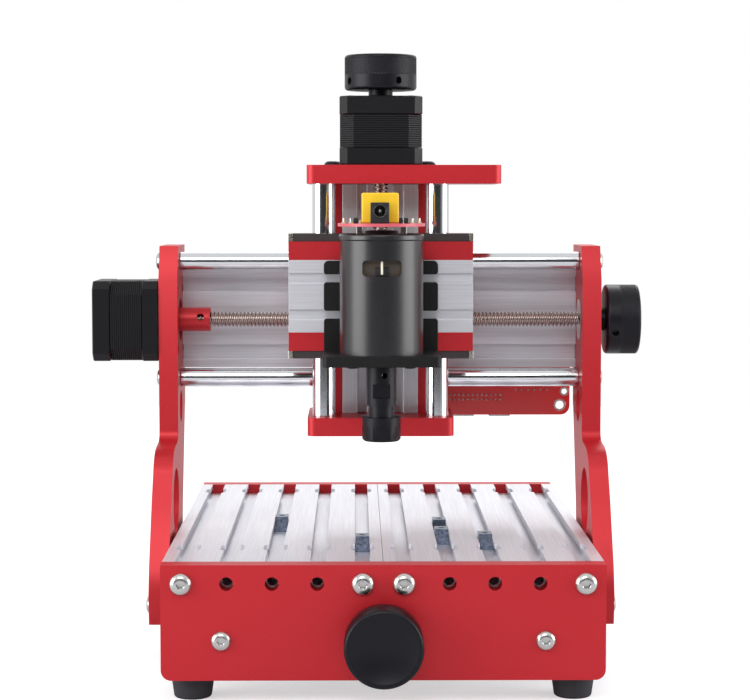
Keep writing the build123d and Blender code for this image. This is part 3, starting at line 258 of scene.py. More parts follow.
def piece(name, surfaces, body, materials, replaces=(), sharp=32):
    """Puts surfaces, in metres, into one mesh that rides on a body."""
    start, points, quads, slots = 0, [], [], []
    for surface_points, surface_quads, material in surfaces:
        points.append(surface_points)
        quads.append(surface_quads + start)
        slots.append(np.full(len(surface_quads), material))
        start += len(surface_points)
    mesh = bpy.data.meshes.new(name)
    mesh.from_pydata(np.concatenate(points).tolist(), [], np.concatenate(quads).tolist())
    mesh.polygons.foreach_set("material_index", np.concatenate(slots).astype(np.int32))
    for material in materials:
        mesh.materials.append(material)
    finish_mesh(mesh, sharp)
    thing = bpy.data.objects.new(name, mesh)
    bpy.context.scene.collection.objects.link(thing)
    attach(thing, body)
    if replaces:
        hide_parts(*replaces)
    return thing


def islands(node):
    """Points of each separate solid of a CAD node: welded points that share a triangle take the lowest of
    their labels until no label changes."""
    points, faces = triangles(node)
    _, welded = np.unique(np.round(points / WELD).astype(np.int64), axis=0, return_inverse=True)
    corners = welded.reshape(-1)[faces]
    label = np.arange(corners.max() + 1)
    while True:
        lowest = label[corners].min(1)
        new = label.copy()
        for column in range(3):
            np.minimum.at(new, corners[:, column], lowest)
        new = new[new]
        if (new == label).all():
            break
        label = new
    of_point = label[welded.reshape(-1)]
    return [points[of_point == name] for name in np.unique(of_point)]


def button_head(radius, columns=48):
    """Domed head on a flat seat: the dome is an arc of height, and the socket a hexagon whose radius at an
    angle is its half width over the cosine of the angle from the nearest flat's middle."""
    height, key, flat = HEAD_HEIGHT * radius, 0.33 * radius, 0.42 * radius
    arc = np.linspace(0, pi / 2, 9)
    profile = [(0, 0), (radius * 0.97, 0)]
    profile += [(flat + (radius - flat) * cos(a), height * 0.1 + height * 0.9 * sin(a)) for a in arc]
    socket = [(key * 1.12, height), (key, height * 0.96), (key * 0.98, height * 0.1), (0, height * 0.06)]
    points, quads, slot = lathe(profile + socket, columns)
    rows = points.reshape(-1, columns, 3)
    angle = np.linspace(0, 2 * pi, columns, endpoint=False)
    hexagon = 1 / np.cos((angle + pi / 6) % (pi / 3) - pi / 6)
    rows[-3:-1, :, :2] *= hexagon[None, :, None]
    return rows.reshape(-1, 3), quads, slot


def screw_set(node, material):
    """Button-head screws and plain spacers in place of a CAD group, each placed by its own solid."""
    surfaces = []
    for points in islands(node):
        low, high = points.min(0), points.max(0)
        along = int(np.argmax(high - low))
        across = [i for i in range(3) if i != along]
        centre = (low + high) / 2
        reach = np.hypot(*(points[:, across] - centre[across]).T)
        length = high[along] - low[along]
        wide = points[reach > 0.98 * reach.max(), along]
        way = 1 if wide.mean() > centre[along] else -1
        radius, at, axis = reach.max(), centre.copy(), "XYZ"[along]
        if np.ptp(wide) > 0.8 * length:
            at[along] = low[along]
            surfaces += placed([tube(radius, radius * SPACER_BORE, 0, length, 0.2 * MM, 24)], axis, at)
            continue
        height = HEAD_HEIGHT * radius
        at[along] = (high if way > 0 else low)[along] - way * height
        shank = turned_bar(radius * SHANK_RADIUS, -(length - height), -0.01 * MM, 0.3 * MM, 20)
        surfaces += placed([button_head(radius), shank], axis, at, way)
    return piece(node + "_turned", surfaces, NODES[node]["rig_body"], [material], [node], 28)


def eased(node, material, width=0.35, sharp=32):
    """A copy of a machined piece, its triangles joined into flat faces and its edges broken by a bevel whose
    width is in millimetres; without a width, only its shading is smoothed."""
    points, faces = triangles(node)
    mesh = bpy.data.meshes.new(node + "_eased")
    mesh.from_pydata(points.tolist(), [], faces.tolist())
    work = bmesh.new()
    work.from_mesh(mesh)
    bmesh.ops.remove_doubles(work, verts=work.verts, dist=WELD)
    if width:
        bmesh.ops.dissolve_limit(work, angle_limit=radians(0.5), verts=work.verts, edges=work.edges)
    work.to_mesh(mesh)
    work.free()
    mesh.shade_smooth()
    mesh.set_sharp_from_angle(angle=radians(sharp))
    mesh.materials.append(material)
    thing = bpy.data.objects.new(node + "_eased", mesh)
    bpy.context.scene.collection.objects.link(thing)
    if width:
        bevel = thing.modifiers.new("broken edges", "BEVEL")
        bevel.width = width * MM
        bevel.segments = 2
        bevel.limit_method = "ANGLE"
        bevel.angle_limit = radians(sharp)
        bevel.harden_normals = True
    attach(thing, NODES[node]["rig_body"])
    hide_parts(node)
    return thing


# ---------------------------------------------------------------- materials
def add(tree, kind, inputs=(), **settings):
    """Adds a node, sets its properties, and gives each named input a value or a link."""
    node = tree.nodes.new(kind)
    for key, value in settings.items():
        setattr(node, key, value)
    for key, value in dict(inputs).items():
        if isinstance(value, bpy.types.NodeSocket):
            tree.links.new(value, node.inputs[key])
        else:
            node.inputs[key].default_value = value
    return node


def start_material(name, **sockets):
    """A new Principled material with its constant sockets set; returns the material, tree and shader."""
    material = bpy.data.materials.new(name)
    material.use_nodes = True
    tree = material.node_tree
    shader = tree.nodes["Principled BSDF"]
    for key, value in sockets.items():
        shader.inputs[key.replace("_", " ")].default_value = value
    return material, tree, shader


def object_space(tree, scale):
    """Object coordinates stretched by a scale for each axis."""
    where = add(tree, "ShaderNodeTexCoord")
    stretched = add(tree, "ShaderNodeMapping", {"Vector": where.outputs["Object"], "Scale": scale})
    return stretched.outputs["Vector"]


def ramp(tree, factor, stops):
    """Colour ramp whose stops are position and linear RGB."""
    node = add(tree, "ShaderNodeValToRGB", {"Fac": factor})
    elements = node.color_ramp.elements
    while len(elements) < len(stops):
        elements.new(0.5)
    for element, (position, colour) in zip(elements, stops):
        element.position = position
        element.color = (*colour, 1)
    return node.outputs["Color"]


def between(tree, factor, low, high):
    """A number that follows factor from low to high."""
    return add(tree, "ShaderNodeMapRange", {"Value": factor, "To Min": low, "To Max": high}).outputs["Result"]


def grain(tree, shader, size_mm, colours, rough, bump_mm, stretch=(1, 1, 1)):
    """Noise with grains of a real size drives colour, roughness and a bump of a real height."""
    scale = [s / (size_mm * MM) for s in stretch]
    noise = add(tree, "ShaderNodeTexNoise", {"Vector": object_space(tree, scale), "Scale": 1.0, "Detail": 3.0,
                                             "Roughness": 0.6})
    value = noise.outputs["Fac"]
    tree.links.new(ramp(tree, value, [(0.3, colours[0]), (0.7, colours[1])]), shader.inputs["Base Color"])
    tree.links.new(between(tree, value, *rough), shader.inputs["Roughness"])
    bump = add(tree, "ShaderNodeBump", {"Height": value, "Distance": bump_mm * MM, "Strength": 1.0})
    tree.links.new(bump.outputs["Normal"], shader.inputs["Normal"])


def tones(colour, spread):
    """Two tones about a linear colour."""
    return [[c * (1 - spread) for c in colour], [min(1.0, c * (1 + spread)) for c in colour]]


def red_anodised(palette):
    # Bead-blasted aluminium dyed red: an even satin red, a little metal in its gloss, 0.5 mm blast grain.
    material, tree, shader = start_material("red anodised aluminium", Metallic=0.35)
    grain(tree, shader, 0.5, tones(palette.red, 0.05), (0.36, 0.46), 0.012)
    return material


def drawn_aluminium(palette, name, stretch):
    # Natural anodised extrusion: pale silver with faint die lines along its length.
    material, tree, shader = start_material(name, Metallic=0.7)
    grain(tree, shader, 0.9, tones(palette.silver, 0.07), (0.36, 0.48), 0.010, stretch)
    return material


def ground_rod():
    # Hard chrome guide rod, centreless ground and polished: bright, with a faint haze in its reflections.
    material, tree, shader = start_material("hard chrome rod", Metallic=1.0)
    grain(tree, shader, 1.5, tones(hex_colour("#D9DBDE"), 0.03), (0.11, 0.15), 0.0004)
    return material


def zinc_steel():
    # Bright zinc-plated steel fastener: soft mirror with a cloudy plating.
    material, tree, shader = start_material("bright zinc steel", Metallic=1.0)
    grain(tree, shader, 0.8, tones(hex_colour("#C9C8C6"), 0.06), (0.18, 0.30), 0.004)
    return material


def rolled_thread():
    # Thread-rolled stainless steel with a film of oil: warm grey metal.
    material, tree, shader = start_material("rolled stainless thread", Metallic=1.0)
    grain(tree, shader, 0.8, tones(hex_colour("#B3A7A2"), 0.06), (0.20, 0.30), 0.003)
    return material


def blue_zinc():
    # Blue-passivated zinc on steel: grey metal with a blue and faint violet film.
    material, tree, shader = start_material("blue zinc steel", Metallic=0.9)
    grain(tree, shader, 1.6, [hex_colour("#4E5868"), hex_colour("#8E99AC")], (0.24, 0.36), 0.006)
    return material


def motor_black(palette):
    # Black-painted die-cast motor cap: semi-gloss with a fine cast grain.
    material, tree, shader = start_material("black motor paint", Metallic=0.0, IOR=1.45,
                                            Specular_IOR_Level=0.3)
    grain(tree, shader, 0.4, tones(palette.black, 0.12), (0.34, 0.46), 0.010)
    return material


def lamination_black():
    # Stacked silicon-steel sheets painted black: semi-matt with a fine grain.
    material, tree, shader = start_material("black laminations", Metallic=0.1, Specular_IOR_Level=0.3)
    grain(tree, shader, 0.35, tones(hex_colour("#100F13"), 0.2), (0.42, 0.56), 0.012)
    return material


def black_anodised():
    # Turned aluminium with black anodising: dark blue-grey satin.
    material, tree, shader = start_material("black anodised aluminium", Metallic=0.4,
                                            Specular_IOR_Level=0.35)
    grain(tree, shader, 0.3, tones(hex_colour("#15151B"), 0.10), (0.32, 0.42), 0.006)
    return material


def powder_coat():
    # Black textured powder coat on steel: matt with an orange-peel grain of about 0.6 mm.
    material, tree, shader = start_material("black powder coat", Metallic=0.0, IOR=1.5,
                                            Specular_IOR_Level=0.3)
    grain(tree, shader, 0.6, tones(hex_colour("#08080A"), 0.20), (0.42, 0.56), 0.09)
    return material


def rubber():
    # Moulded nitrile rubber: matt dark grey with a dusty bloom.
    material, tree, shader = start_material("nitrile rubber", Metallic=0.0, IOR=1.52)
    grain(tree, shader, 1.2, tones(hex_colour("#242329"), 0.15), (0.62, 0.80), 0.03)
    return material


def brass():
    # Free-cutting brass, turned: warm yellow metal with a fine grain.
    material, tree, shader = start_material("turned brass", Metallic=1.0)
    grain(tree, shader, 0.7, tones(hex_colour("#C9A24F"), 0.06), (0.20, 0.32), 0.004)
    return material


def solder_mask():
    # Glass-epoxy board under red solder mask: glossy red film over a faint weave of 0.9 mm.
    material, tree, shader = start_material("red solder mask", Metallic=0.0, IOR=1.55, Coat_Weight=0.5,
                                            Coat_Roughness=0.08)
    grain(tree, shader, 0.9, tones(hex_colour("#D01A1E"), 0.06), (0.28, 0.38), 0.006)
    return material


def tinned():
    # Tin-lead solder on copper pads: bright rounded metal.
    material, tree, shader = start_material("solder", Metallic=1.0)
    grain(tree, shader, 0.5, tones(hex_colour("#CFCBC3"), 0.08), (0.18, 0.34), 0.02)
    return material


def moulded(name, colour, rough):
    # Injection-moulded ABS or nylon: even colour, low sheen, fine spark-eroded grain.
    material, tree, shader = start_material(name, Metallic=0.0, IOR=1.5)
    grain(tree, shader, 0.35, tones(colour, 0.06), rough, 0.010)
    return material


def laminate():
    # Cotton-phenolic laminate sheet: dark brown with a faint woven fleck.
    material, tree, shader = start_material("phenolic laminate", Metallic=0.0, IOR=1.55)
    grain(tree, shader, 0.8, [hex_colour("#231A1B"), hex_colour("#33282A")], (0.45, 0.6), 0.02)
    return material


def enamelled_can():
    # Steel motor can under baked black-brown enamel: dark, glossy, slightly uneven.
    material, tree, shader = start_material("baked enamel", Metallic=0.1, IOR=1.55, Coat_Weight=0.3,
                                            Coat_Roughness=0.3)
    grain(tree, shader, 2.5, [hex_colour("#121014"), hex_colour("#1A181C")], (0.28, 0.36), 0.010)
    return material


def build_materials(palette):
    """Every finish by its short name."""
    along = {"X": (0.02, 1, 1), "Y": (1, 0.02, 1), "Z": (1, 1, 0.02)}
    finishes = {f"silver_{axis}": drawn_aluminium(palette, f"extruded aluminium along {axis}", stretch)
                for axis, stretch in along.items()}
    finishes.update(
        red=red_anodised(palette), motor=motor_black(palette), rod=ground_rod(), zinc=zinc_steel(),
        blue=blue_zinc(), screw=rolled_thread(), stack=lamination_black(), black=black_anodised(),
        powder=powder_coat(), rubber=rubber(), brass=brass(), mask=solder_mask(), tin=tinned(),
        laminate=laminate(), can=enamelled_can(),
        card=moulded("phenolic brush card", hex_colour("#4A3F35"), (0.45, 0.6)),
        pale_mask=moulded("pale red circuit board", hex_colour("#CC5A66"), (0.3, 0.4)),
        yellow=moulded("yellow epoxy case", hex_colour("#F4C62A"), (0.30, 0.42)),
        abs_black=moulded("black moulded nylon", hex_colour("#1B1A1D"), (0.36, 0.50)),
        abs_white=moulded("ivory moulded nylon", hex_colour("#E6E0D0"), (0.36, 0.50)))
    return finishes


FINISH = {}


# ---------------------------------------------------------------- properties
class RouterSizes(PropertyGroup):
    """Sizes of the added detail."""

    edge: FloatProperty(name="Broken edge", description="Bevel on the edges of the red plates",
                        default=0.4 * MM, min=0.05 * MM, unit="LENGTH")
    thread_pitch: FloatProperty(name="Thread pitch", description="Distance between a lead screw's crests",
                                default=2.0 * MM, min=0.5 * MM, unit="LENGTH")
    thread_starts: IntProperty(name="Thread starts", description="Threads side by side on a lead screw",
                               default=2, min=1)
    thread_depth: FloatProperty(name="Thread depth", description="Crest to root of a lead screw",
                                default=1.0 * MM, unit="LENGTH")
    knurl_count: IntProperty(name="Knurls", description="Knurl ridges round a handwheel", default=84, min=12)
    knurl_depth: FloatProperty(name="Knurl depth", description="Depth of a handwheel's knurl",
                               default=0.28 * MM, unit="LENGTH")
    sheet: FloatProperty(name="Lamination", description="Spacing of the lines on a motor's stack",
                         default=1.1 * MM, unit="LENGTH")
    lens: FloatProperty(name="Lens", description="Camera focal length", default=100.0, unit="CAMERA")


class RouterColours(PropertyGroup):
    """Main colours of the machine."""

    red: FloatVectorProperty(name="Red plates", description="Dyed anodising on the plates", subtype="COLOR",
                             size=3, default=hex_colour("#BD2029"), min=0, max=1)
    silver: FloatVectorProperty(name="Extrusions", description="Natural anodising", subtype="COLOR", size=3,
                                default=hex_colour("#DCDCE2"), min=0, max=1)
    black: FloatVectorProperty(name="Motors", description="Motor paint", subtype="COLOR", size=3,
                               default=hex_colour("#0E0D11"), min=0, max=1)
    floor: FloatVectorProperty(name="Floor", description="Studio floor", subtype="COLOR", size=3,
                               default=hex_colour("#CFCFD2"), min=0, max=1)


# ---------------------------------------------------------------- operators
class ROUTER_OT_stage(Operator):
    """Lay the floor, hang the soft lights and stand the camera."""

    bl_idname = "router.stage"
    bl_label = "Stage"

    def execute(self, context):
        scene, palette = context.scene, context.scene.router_colours
        points, quads, _ = lathe([(0, 0), (FLOOR_RADIUS, 0)], 96)
        mesh = bpy.data.meshes.new("floor")
        mesh.from_pydata(points.tolist(), [], quads.tolist())
        finish_mesh(mesh, 30)
        # Matt white paper sweep: it glows a little to the camera alone, as an over-lit studio sweep does.
        material, tree, shader = start_material("matt paper floor", Metallic=0.0, Emission_Color=(1, 1, 1, 1),
                                                Specular_IOR_Level=0.2)
        grain(tree, shader, 2.0, tones(palette.floor, 0.01), (0.75, 0.85), 0.01)
        path = add(tree, "ShaderNodeLightPath")
        glow = add(tree, "ShaderNodeMath", {0: path.outputs["Is Camera Ray"], 1: 0.5}, operation="MULTIPLY")
        tree.links.new(glow.outputs[0], shader.inputs["Emission Strength"])
        mesh.materials.append(material)
        floor = bpy.data.objects.new("floor", mesh)
        scene.collection.objects.link(floor)
        floor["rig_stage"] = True
        scene.world = self.studio()
        scene.view_settings.view_transform = "Standard"
        low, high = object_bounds()
        aim = (Vector(low) + Vector(high)) / 2
        for name, place, size, power in SOFTBOXES:
            light = bpy.data.lights.new(name, "AREA")
            light.energy, light.size = power, size
            lamp = bpy.data.objects.new(name, light)
            lamp.location = place
            lamp.rotation_euler = (aim - Vector(place)).to_track_quat("-Z", "Y").to_euler()
            scene.collection.objects.link(lamp)
        self.stand_camera(scene)
        return {"FINISHED"}

    def studio(self):
        """White room lit from above, behind and both sides, and dark on the photographer's side; the camera
        itself sees plain white."""
        world = bpy.data.worlds.new("studio")
        world.use_nodes = True
        tree = world.node_tree
        where = add(tree, "ShaderNodeTexCoord")
        parts = add(tree, "ShaderNodeSeparateXYZ", {"Vector": where.outputs["Generated"]})
        rear = add(tree, "ShaderNodeMath", {0: parts.outputs["Y"], 1: 0.5, 2: parts.outputs["Z"]},
                   operation="MULTIPLY_ADD")
        side = add(tree, "ShaderNodeMath", {0: parts.outputs["X"]}, operation="ABSOLUTE")
        walls = add(tree, "ShaderNodeMath", {0: side.outputs[0], 1: 0.9, 2: rear.outputs[0]},
                    operation="MULTIPLY_ADD")
        rise = add(tree, "ShaderNodeMapRange",
                   {"Value": walls.outputs[0], "From Min": -0.15, "From Max": 0.75,
                    "To Min": 0.04, "To Max": 0.9}, interpolation_type="SMOOTHSTEP")
        path = add(tree, "ShaderNodeLightPath")
        shown = add(tree, "ShaderNodeMix",
                    {0: path.outputs["Is Camera Ray"], 2: rise.outputs["Result"], 3: 1.0})
        background = tree.nodes["Background"]
        background.inputs["Color"].default_value = (1.0, 1.0, 1.0, 1)
        tree.links.new(shown.outputs[0], background.inputs["Strength"])
        return world

    def stand_camera(self, scene):
        """A long lens about a metre in front of the front plate, a little left of the middle and above it."""
        ahead, left, height = 969 * MM, 13.3 * MM, 236.6 * MM
        pitch, yaw = radians(4.091), radians(0.55)
        data = bpy.data.cameras.new("camera")
        data.sensor_width = 36.0
        data.sensor_fit = "HORIZONTAL"
        data.lens = scene.router_sizes.lens
        data.clip_start = 0.05
        camera = bpy.data.objects.new("camera", data)
        plate_low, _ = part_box("front_plate")
        camera.location = (middle("front_plate")[0] - left, plate_low.y - ahead, height)
        camera.rotation_euler = (pi / 2 - pitch, 0, -yaw)
        scene.collection.objects.link(camera)
        scene.camera = camera


class ROUTER_OT_red_plates(Operator):
    """Finish the red plates with broken edges."""

    bl_idname = "router.red_plates"
    bl_label = "Red plates"

    def execute(self, context):
        edge = context.scene.router_sizes.edge / MM
        for node in ("front_plate", "rear_plate", "side_plate_left", "side_plate_right", "z_top_plate",
                     "z_bottom_plate", "carriage_side_plates", "slider_caps"):
            eased(node, FINISH["red"], edge)
        return {"FINISHED"}


class ROUTER_OT_extrusions(Operator):
    """Finish the silver extrusions: bed, beam, crossbar, carriage and slider."""

    bl_idname = "router.extrusions"
    bl_label = "Extrusions"

    def execute(self, context):
        for node, axis in (("bed_profile_left", "Y"), ("bed_profile_right", "Y"), ("x_beam", "X"),
                           ("lower_crossbar", "X"), ("carriage_extrusion", "Z"), ("slider_extrusion", "X")):
            eased(node, FINISH["silver_" + axis], 0.3)
        return {"FINISHED"}


class ROUTER_OT_fasteners(Operator):
    """Finish screws, nuts, bearings and T-nuts."""

    bl_idname = "router.fasteners"
    bl_label = "Fasteners"

    def execute(self, context):
        for node, finish in (("base_screws", "zinc"), ("gantry_fasteners", "zinc"),
                             ("z_frame_screws", "black"), ("bracket_screws", "black")):
            screw_set(node, FINISH[finish])
        for node in ("y_screw_bearing", "gantry_bearings", "carriage_bearings", "z_linear_bearings"):
            eased(node, FINISH["rod"], 0)
        for node in ("x_lead_nut", "y_lead_nut", "z_lead_nut"):
            eased(node, FINISH["brass"], 0.2)
        for node in NODES:
            if node.startswith("t_nut"):
                eased(node, FINISH["blue"], 0.35)
        return {"FINISHED"}


class ROUTER_OT_rods(Operator):
    """Turn the guide rods as smooth bars with chamfered ends."""

    bl_idname = "router.rods"
    bl_label = "Guide rods"

    def execute(self, context):
        for node, axis in (("x_guide_rods", "X"), ("y_guide_rods", "Y"), ("z_guide_rods", "Z")):
            low, high = corners_of(node)
            along = "XYZ".index(axis)
            spread = high - low
            radius = min(spread[i] for i in range(3) if i != along) / 2
            apart = max((i for i in range(3) if i != along), key=lambda i: spread[i])
            surfaces = []
            for end in (low[apart] + radius, high[apart] - radius):
                centre = (low + high) / 2
                centre[apart] = end
                half = spread[along] / 2
                surfaces += placed([turned_bar(radius, -half, half, 0.4 * MM, 64)], axis, centre)
            piece(node + "_ground", surfaces, NODES[node]["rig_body"], [FINISH["rod"]], [node])
        return {"FINISHED"}


class ROUTER_OT_lead_screws(Operator):
    """Cut the trapezoidal threads of the lead screws."""

    bl_idname = "router.lead_screws"
    bl_label = "Lead screws"

    def execute(self, context):
        sizes = context.scene.router_sizes
        for node, axis in (("x_lead_screw", "X"), ("y_lead_screw", "Y"), ("z_lead_screw", "Z")):
            low, high = corners_of(node)
            along = "XYZ".index(axis)
            centre = (low + high) / 2
            centre[along] = 0
            surface = self.thread(sizes, low[along], high[along])
            piece(node + "_thread", placed([surface], axis, centre), NODES[node]["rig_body"],
                  [FINISH["screw"]], [node], 40)
        return {"FINISHED"}

    def thread(self, sizes, low, high):
        """Radius falls from crest to root as a clipped triangle wave of height less lead times turn, both
        over the pitch."""
        pitch, depth, radius = sizes.thread_pitch, sizes.thread_depth, 4.0 * MM
        lead = pitch * sizes.thread_starts
        rows = int(round((high - low) / pitch * THREAD_ROWS, 2))
        height = np.linspace(low, high, rows)
        profile = np.column_stack([np.full(rows, radius), height])
        profile = np.vstack([[0, low], profile, [0, high]])

        def bumps(angle, where):
            phase = ((where - lead * angle / (2 * pi)) / pitch) % 1.0
            wave = np.clip(np.abs(phase - 0.5) * 4 - 0.45, 0, 1)
            return -depth * wave

        return lathe(profile, 32, 0, bumps)


class ROUTER_OT_handwheels(Operator):
    """Turn the handwheels: a knurled outer band, a plain band with grub-screw holes and a rounded face."""

    bl_idname = "router.handwheels"
    bl_label = "Handwheels"

    def execute(self, context):
        for node, axis, way in (("x_handwheel", "X", 1), ("y_handwheel", "Y", -1), ("z_handwheel", "Z", 1)):
            low, high = corners_of(node)
            along = "XYZ".index(axis)
            centre = (low + high) / 2
            centre[along] = low[along] if way > 0 else high[along]
            surfaces = [self.wheel(context.scene.router_sizes, HOLE_TURNS[axis])]
            piece(node + "_turned", placed(surfaces, axis, centre, way), NODES[node]["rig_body"],
                  [FINISH["black"]], [node], 40)
        return {"FINISHED"}

    def wheel(self, sizes, turns):
        """Profile of hub, rim and dished face; two crossed sine waves make the knurl, and a round dip makes
        each hole."""
        hub_radius, hub, rim, total = 6.25 * MM, 3.0 * MM, 18.6 * MM, 21.0 * MM
        corner = 1.6 * MM
        hole_radius, hole_depth, hole_height = 1.7 * MM, 2.6 * MM, (hub + total) / 2 - 4.6 * MM
        arc = np.linspace(0, pi / 2, 7)
        rise = np.linspace(hub + corner, total - corner, 54)
        profile = [(0, 0), (hub_radius - 0.4 * MM, 0), (hub_radius, 0.4 * MM), (hub_radius, hub)]
        profile += [(rim - corner + corner * sin(a), hub + corner - corner * cos(a)) for a in arc[:-1]]
        profile += [(rim, z) for z in rise]
        profile += [(rim - corner + corner * cos(a), total - corner + corner * sin(a)) for a in arc[1:]]
        profile += [(rim - 2.6 * MM, total), (rim - 2.9 * MM, total - 0.25 * MM), (0, total - 0.25 * MM)]
        band_low, band_high = hub + 8.0 * MM, total - corner
        count, depth = sizes.knurl_count, sizes.knurl_depth
        pitch = 2 * pi * rim / count

        def bumps(angle, height):
            inside = (height > band_low) & (height < band_high)
            first = np.abs(np.sin((count * angle + 2 * pi * height / pitch) / 2))
            second = np.abs(np.sin((count * angle - 2 * pi * height / pitch) / 2))
            change = np.where(inside, -depth * (1 - np.minimum(first, second)), 0.0)
            for turn in turns:
                across = ((angle - radians(turn) + pi) % (2 * pi) - pi) * rim
                away = np.hypot(across, height - hole_height)
                on_rim = (height > hub + corner) & (height < total - corner)
                change = np.where(on_rim & (away < hole_radius), -hole_depth, change)
            return change

        return lathe(profile, 504, 0, bumps)


class ROUTER_OT_motors(Operator):
    """Build the stepper motors: cast caps, laminated stack, screws and connector."""

    bl_idname = "router.motors"
    bl_label = "Stepper motors"

    def execute(self, context):
        for node, axis, way in (("x_motor", "X", -1), ("y_motor", "Y", 1), ("z_motor", "Z", 1)):
            low, high = corners_of(node)
            along = "XYZ".index(axis)
            centre = (low + high) / 2
            boss = 2.0 * MM
            centre[along] = low[along] + boss if way > 0 else high[along] - boss
            surfaces = self.motor(context.scene.router_sizes, axis)
            piece(node + "_built", placed(surfaces, axis, centre, way), NODES[node]["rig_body"],
                  [FINISH["motor"], FINISH["stack"], FINISH["zinc"], FINISH["abs_white"]], [node])
        for node in ("x_motor_rotor", "y_motor_rotor"):
            eased(node, FINISH["zinc"], 0.2)
        return {"FINISHED"}

    def motor(self, sizes, axis):
        """Cut-corner outlines stacked along the axis; the stack's outline steps in at every sheet line."""
        size, length, flange, cap = 42.3 * MM, 35.0 * MM, 9.0 * MM, 9.5 * MM
        edge, line, bolt = 0.6 * MM, 0.22 * MM, 15.5 * MM
        boss_radius, boss = 11 * MM, 2.0 * MM
        cap_outline = cut_outline(size, 4.0 * MM)
        front = stacked(cap_outline, [(0, edge), (edge, 0), (flange - edge, 0), (flange, edge)])
        stack_end = length - cap
        sheet = sizes.sheet
        levels = []
        for start in np.arange(flange, stack_end - sheet / 2, sheet):
            levels += [(start, line), (start + 0.2 * sheet, 0), (start + 0.8 * sheet, 0)]
        levels += [(stack_end, line)]
        middle_stack = stacked(cut_outline(size - 0.3 * MM, 7.0 * MM), levels, 1)
        rear = stacked(cap_outline,
                       [(stack_end, edge), (stack_end + edge, 0), (length - edge, 0), (length, edge)])
        pilot = lathe([(0, -boss), (boss_radius, -boss), (boss_radius, 0.2 * MM), (0, 0.2 * MM)], 48)
        surfaces = [front, middle_stack, rear, pilot]
        head = [(0, 0.0), (2.7, 0.0), (2.7, 0.25), (2.3, 0.5), (1.5, 0.55), (1.3, -0.6), (0, -0.6)]
        for x in (-bolt, bolt):
            for y in (-bolt, bolt):
                screw = lathe(np.array(head) * MM, 20, 2)
                surfaces.append(moved(screw, (x, y, length - 0.3 * MM)))
        ring = [(5.0, 0.0), (7.6, 0.0), (7.6, 0.5), (7.0, 0.8), (5.4, 0.8), (5.0, 0.5), (5.0, 0.0)]
        inner = 5.0 if axis == "Z" else 0.0
        surfaces.append(lathe([(max(r, inner) * MM, length - 0.5 * MM + h * MM) for r, h in ring], 40))
        out, deep = size / 2 + 1.6 * MM, length - 5.2 * MM
        if axis == "Z":
            surfaces.append(block((16 * MM, 5.0 * MM, 7.0 * MM), 0.4 * MM, (0, out, deep), 3))
        else:
            surfaces.append(block((5.0 * MM, 16 * MM, 7.0 * MM), 0.4 * MM, (-out, 0, deep), 3))
        return surfaces


class ROUTER_OT_couplings(Operator):
    """Finish the couplings with broken edges."""

    bl_idname = "router.couplings"
    bl_label = "Couplings"

    def execute(self, context):
        for node in ("x_coupling", "y_coupling"):
            eased(node, FINISH["red"], 0.4)
        return {"FINISHED"}


class ROUTER_OT_feet(Operator):
    """Finish the rubber feet."""

    bl_idname = "router.feet"
    bl_label = "Rubber feet"

    def execute(self, context):
        eased("rubber_feet", FINISH["rubber"], 0)
        return {"FINISHED"}


class ROUTER_OT_spindle(Operator):
    """Finish the spindle motor's bracket, can, chuck and collet, and fit the brush holder in its window."""

    bl_idname = "router.spindle"
    bl_label = "Spindle"

    def execute(self, context):
        eased("spindle_bracket", FINISH["powder"], 0.5)
        eased("spindle_can", FINISH["can"], 0.3)
        eased("spindle_shaft", FINISH["zinc"], 0)
        eased("collet_chuck", FINISH["black"], 0.25)
        eased("collet_nut", FINISH["black"], 0.3)
        eased("collet", FINISH["zinc"], 0)
        self.end_cap()
        self.brush_holder()
        return {"FINISHED"}

    def end_cap(self):
        """Pressed rim with a rolled edge, a domed plate and the raised seat of the rear bearing."""
        low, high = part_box("spindle_end_cap")
        radius, height = (high.x - low.x) / 2, high.z - low.z
        roll = np.linspace(0, pi / 2, 6)
        curl = 0.9 * MM
        profile = [(0, 0.2 * MM), (radius - 0.6 * MM, 0), (radius, 0.6 * MM)]
        profile += [(radius - curl + curl * cos(a), height - curl + curl * sin(a)) for a in roll]
        profile += [(radius - 2.2 * MM, height), (radius - 2.6 * MM, height - 0.5 * MM),
                    (9.0 * MM, height - 0.5 * MM), (8.2 * MM, height + 1.6 * MM),
                    (5.0 * MM, height + 1.9 * MM), (4.6 * MM, height + 0.6 * MM), (0, height + 0.5 * MM)]
        at = np.array((low + high) / 2)
        at[2] = low.z
        piece("spindle_end_cap_pressed", placed([lathe(profile, 96)], "Z", at),
              NODES["spindle_end_cap"]["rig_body"], [FINISH["can"]], ["spindle_end_cap"])

    def brush_holder(self):
        """Card behind the two windows, with a black brush box and a pale tongue in the middle of each."""
        low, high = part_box("spindle_can")
        centre = np.array((low + high) / 2)
        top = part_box("spindle_end_cap")[1].z
        window = top - VENT_DROP
        surfaces = []
        for way in (-1, 1):
            front = centre[1] + way * 15.5 * MM
            surfaces.append(block((22 * MM, 1.2 * MM, 9.6 * MM), 0.2 * MM, (centre[0], front, window), 0))
            surfaces.append(block((7 * MM, 1.6 * MM, 4.6 * MM), 0.3 * MM,
                                  (centre[0], front + way * 1.0 * MM, window - 1.8 * MM), 1))
            surfaces.append(block((1.1 * MM, 3.0 * MM, 6.6 * MM), 0.2 * MM,
                                  (centre[0], front + way * 2.2 * MM, window + 0.2 * MM), 2))
        piece("brush_holder", surfaces, NODES["spindle_can"]["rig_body"],
              [FINISH["card"], FINISH["abs_black"], FINISH["abs_white"]])


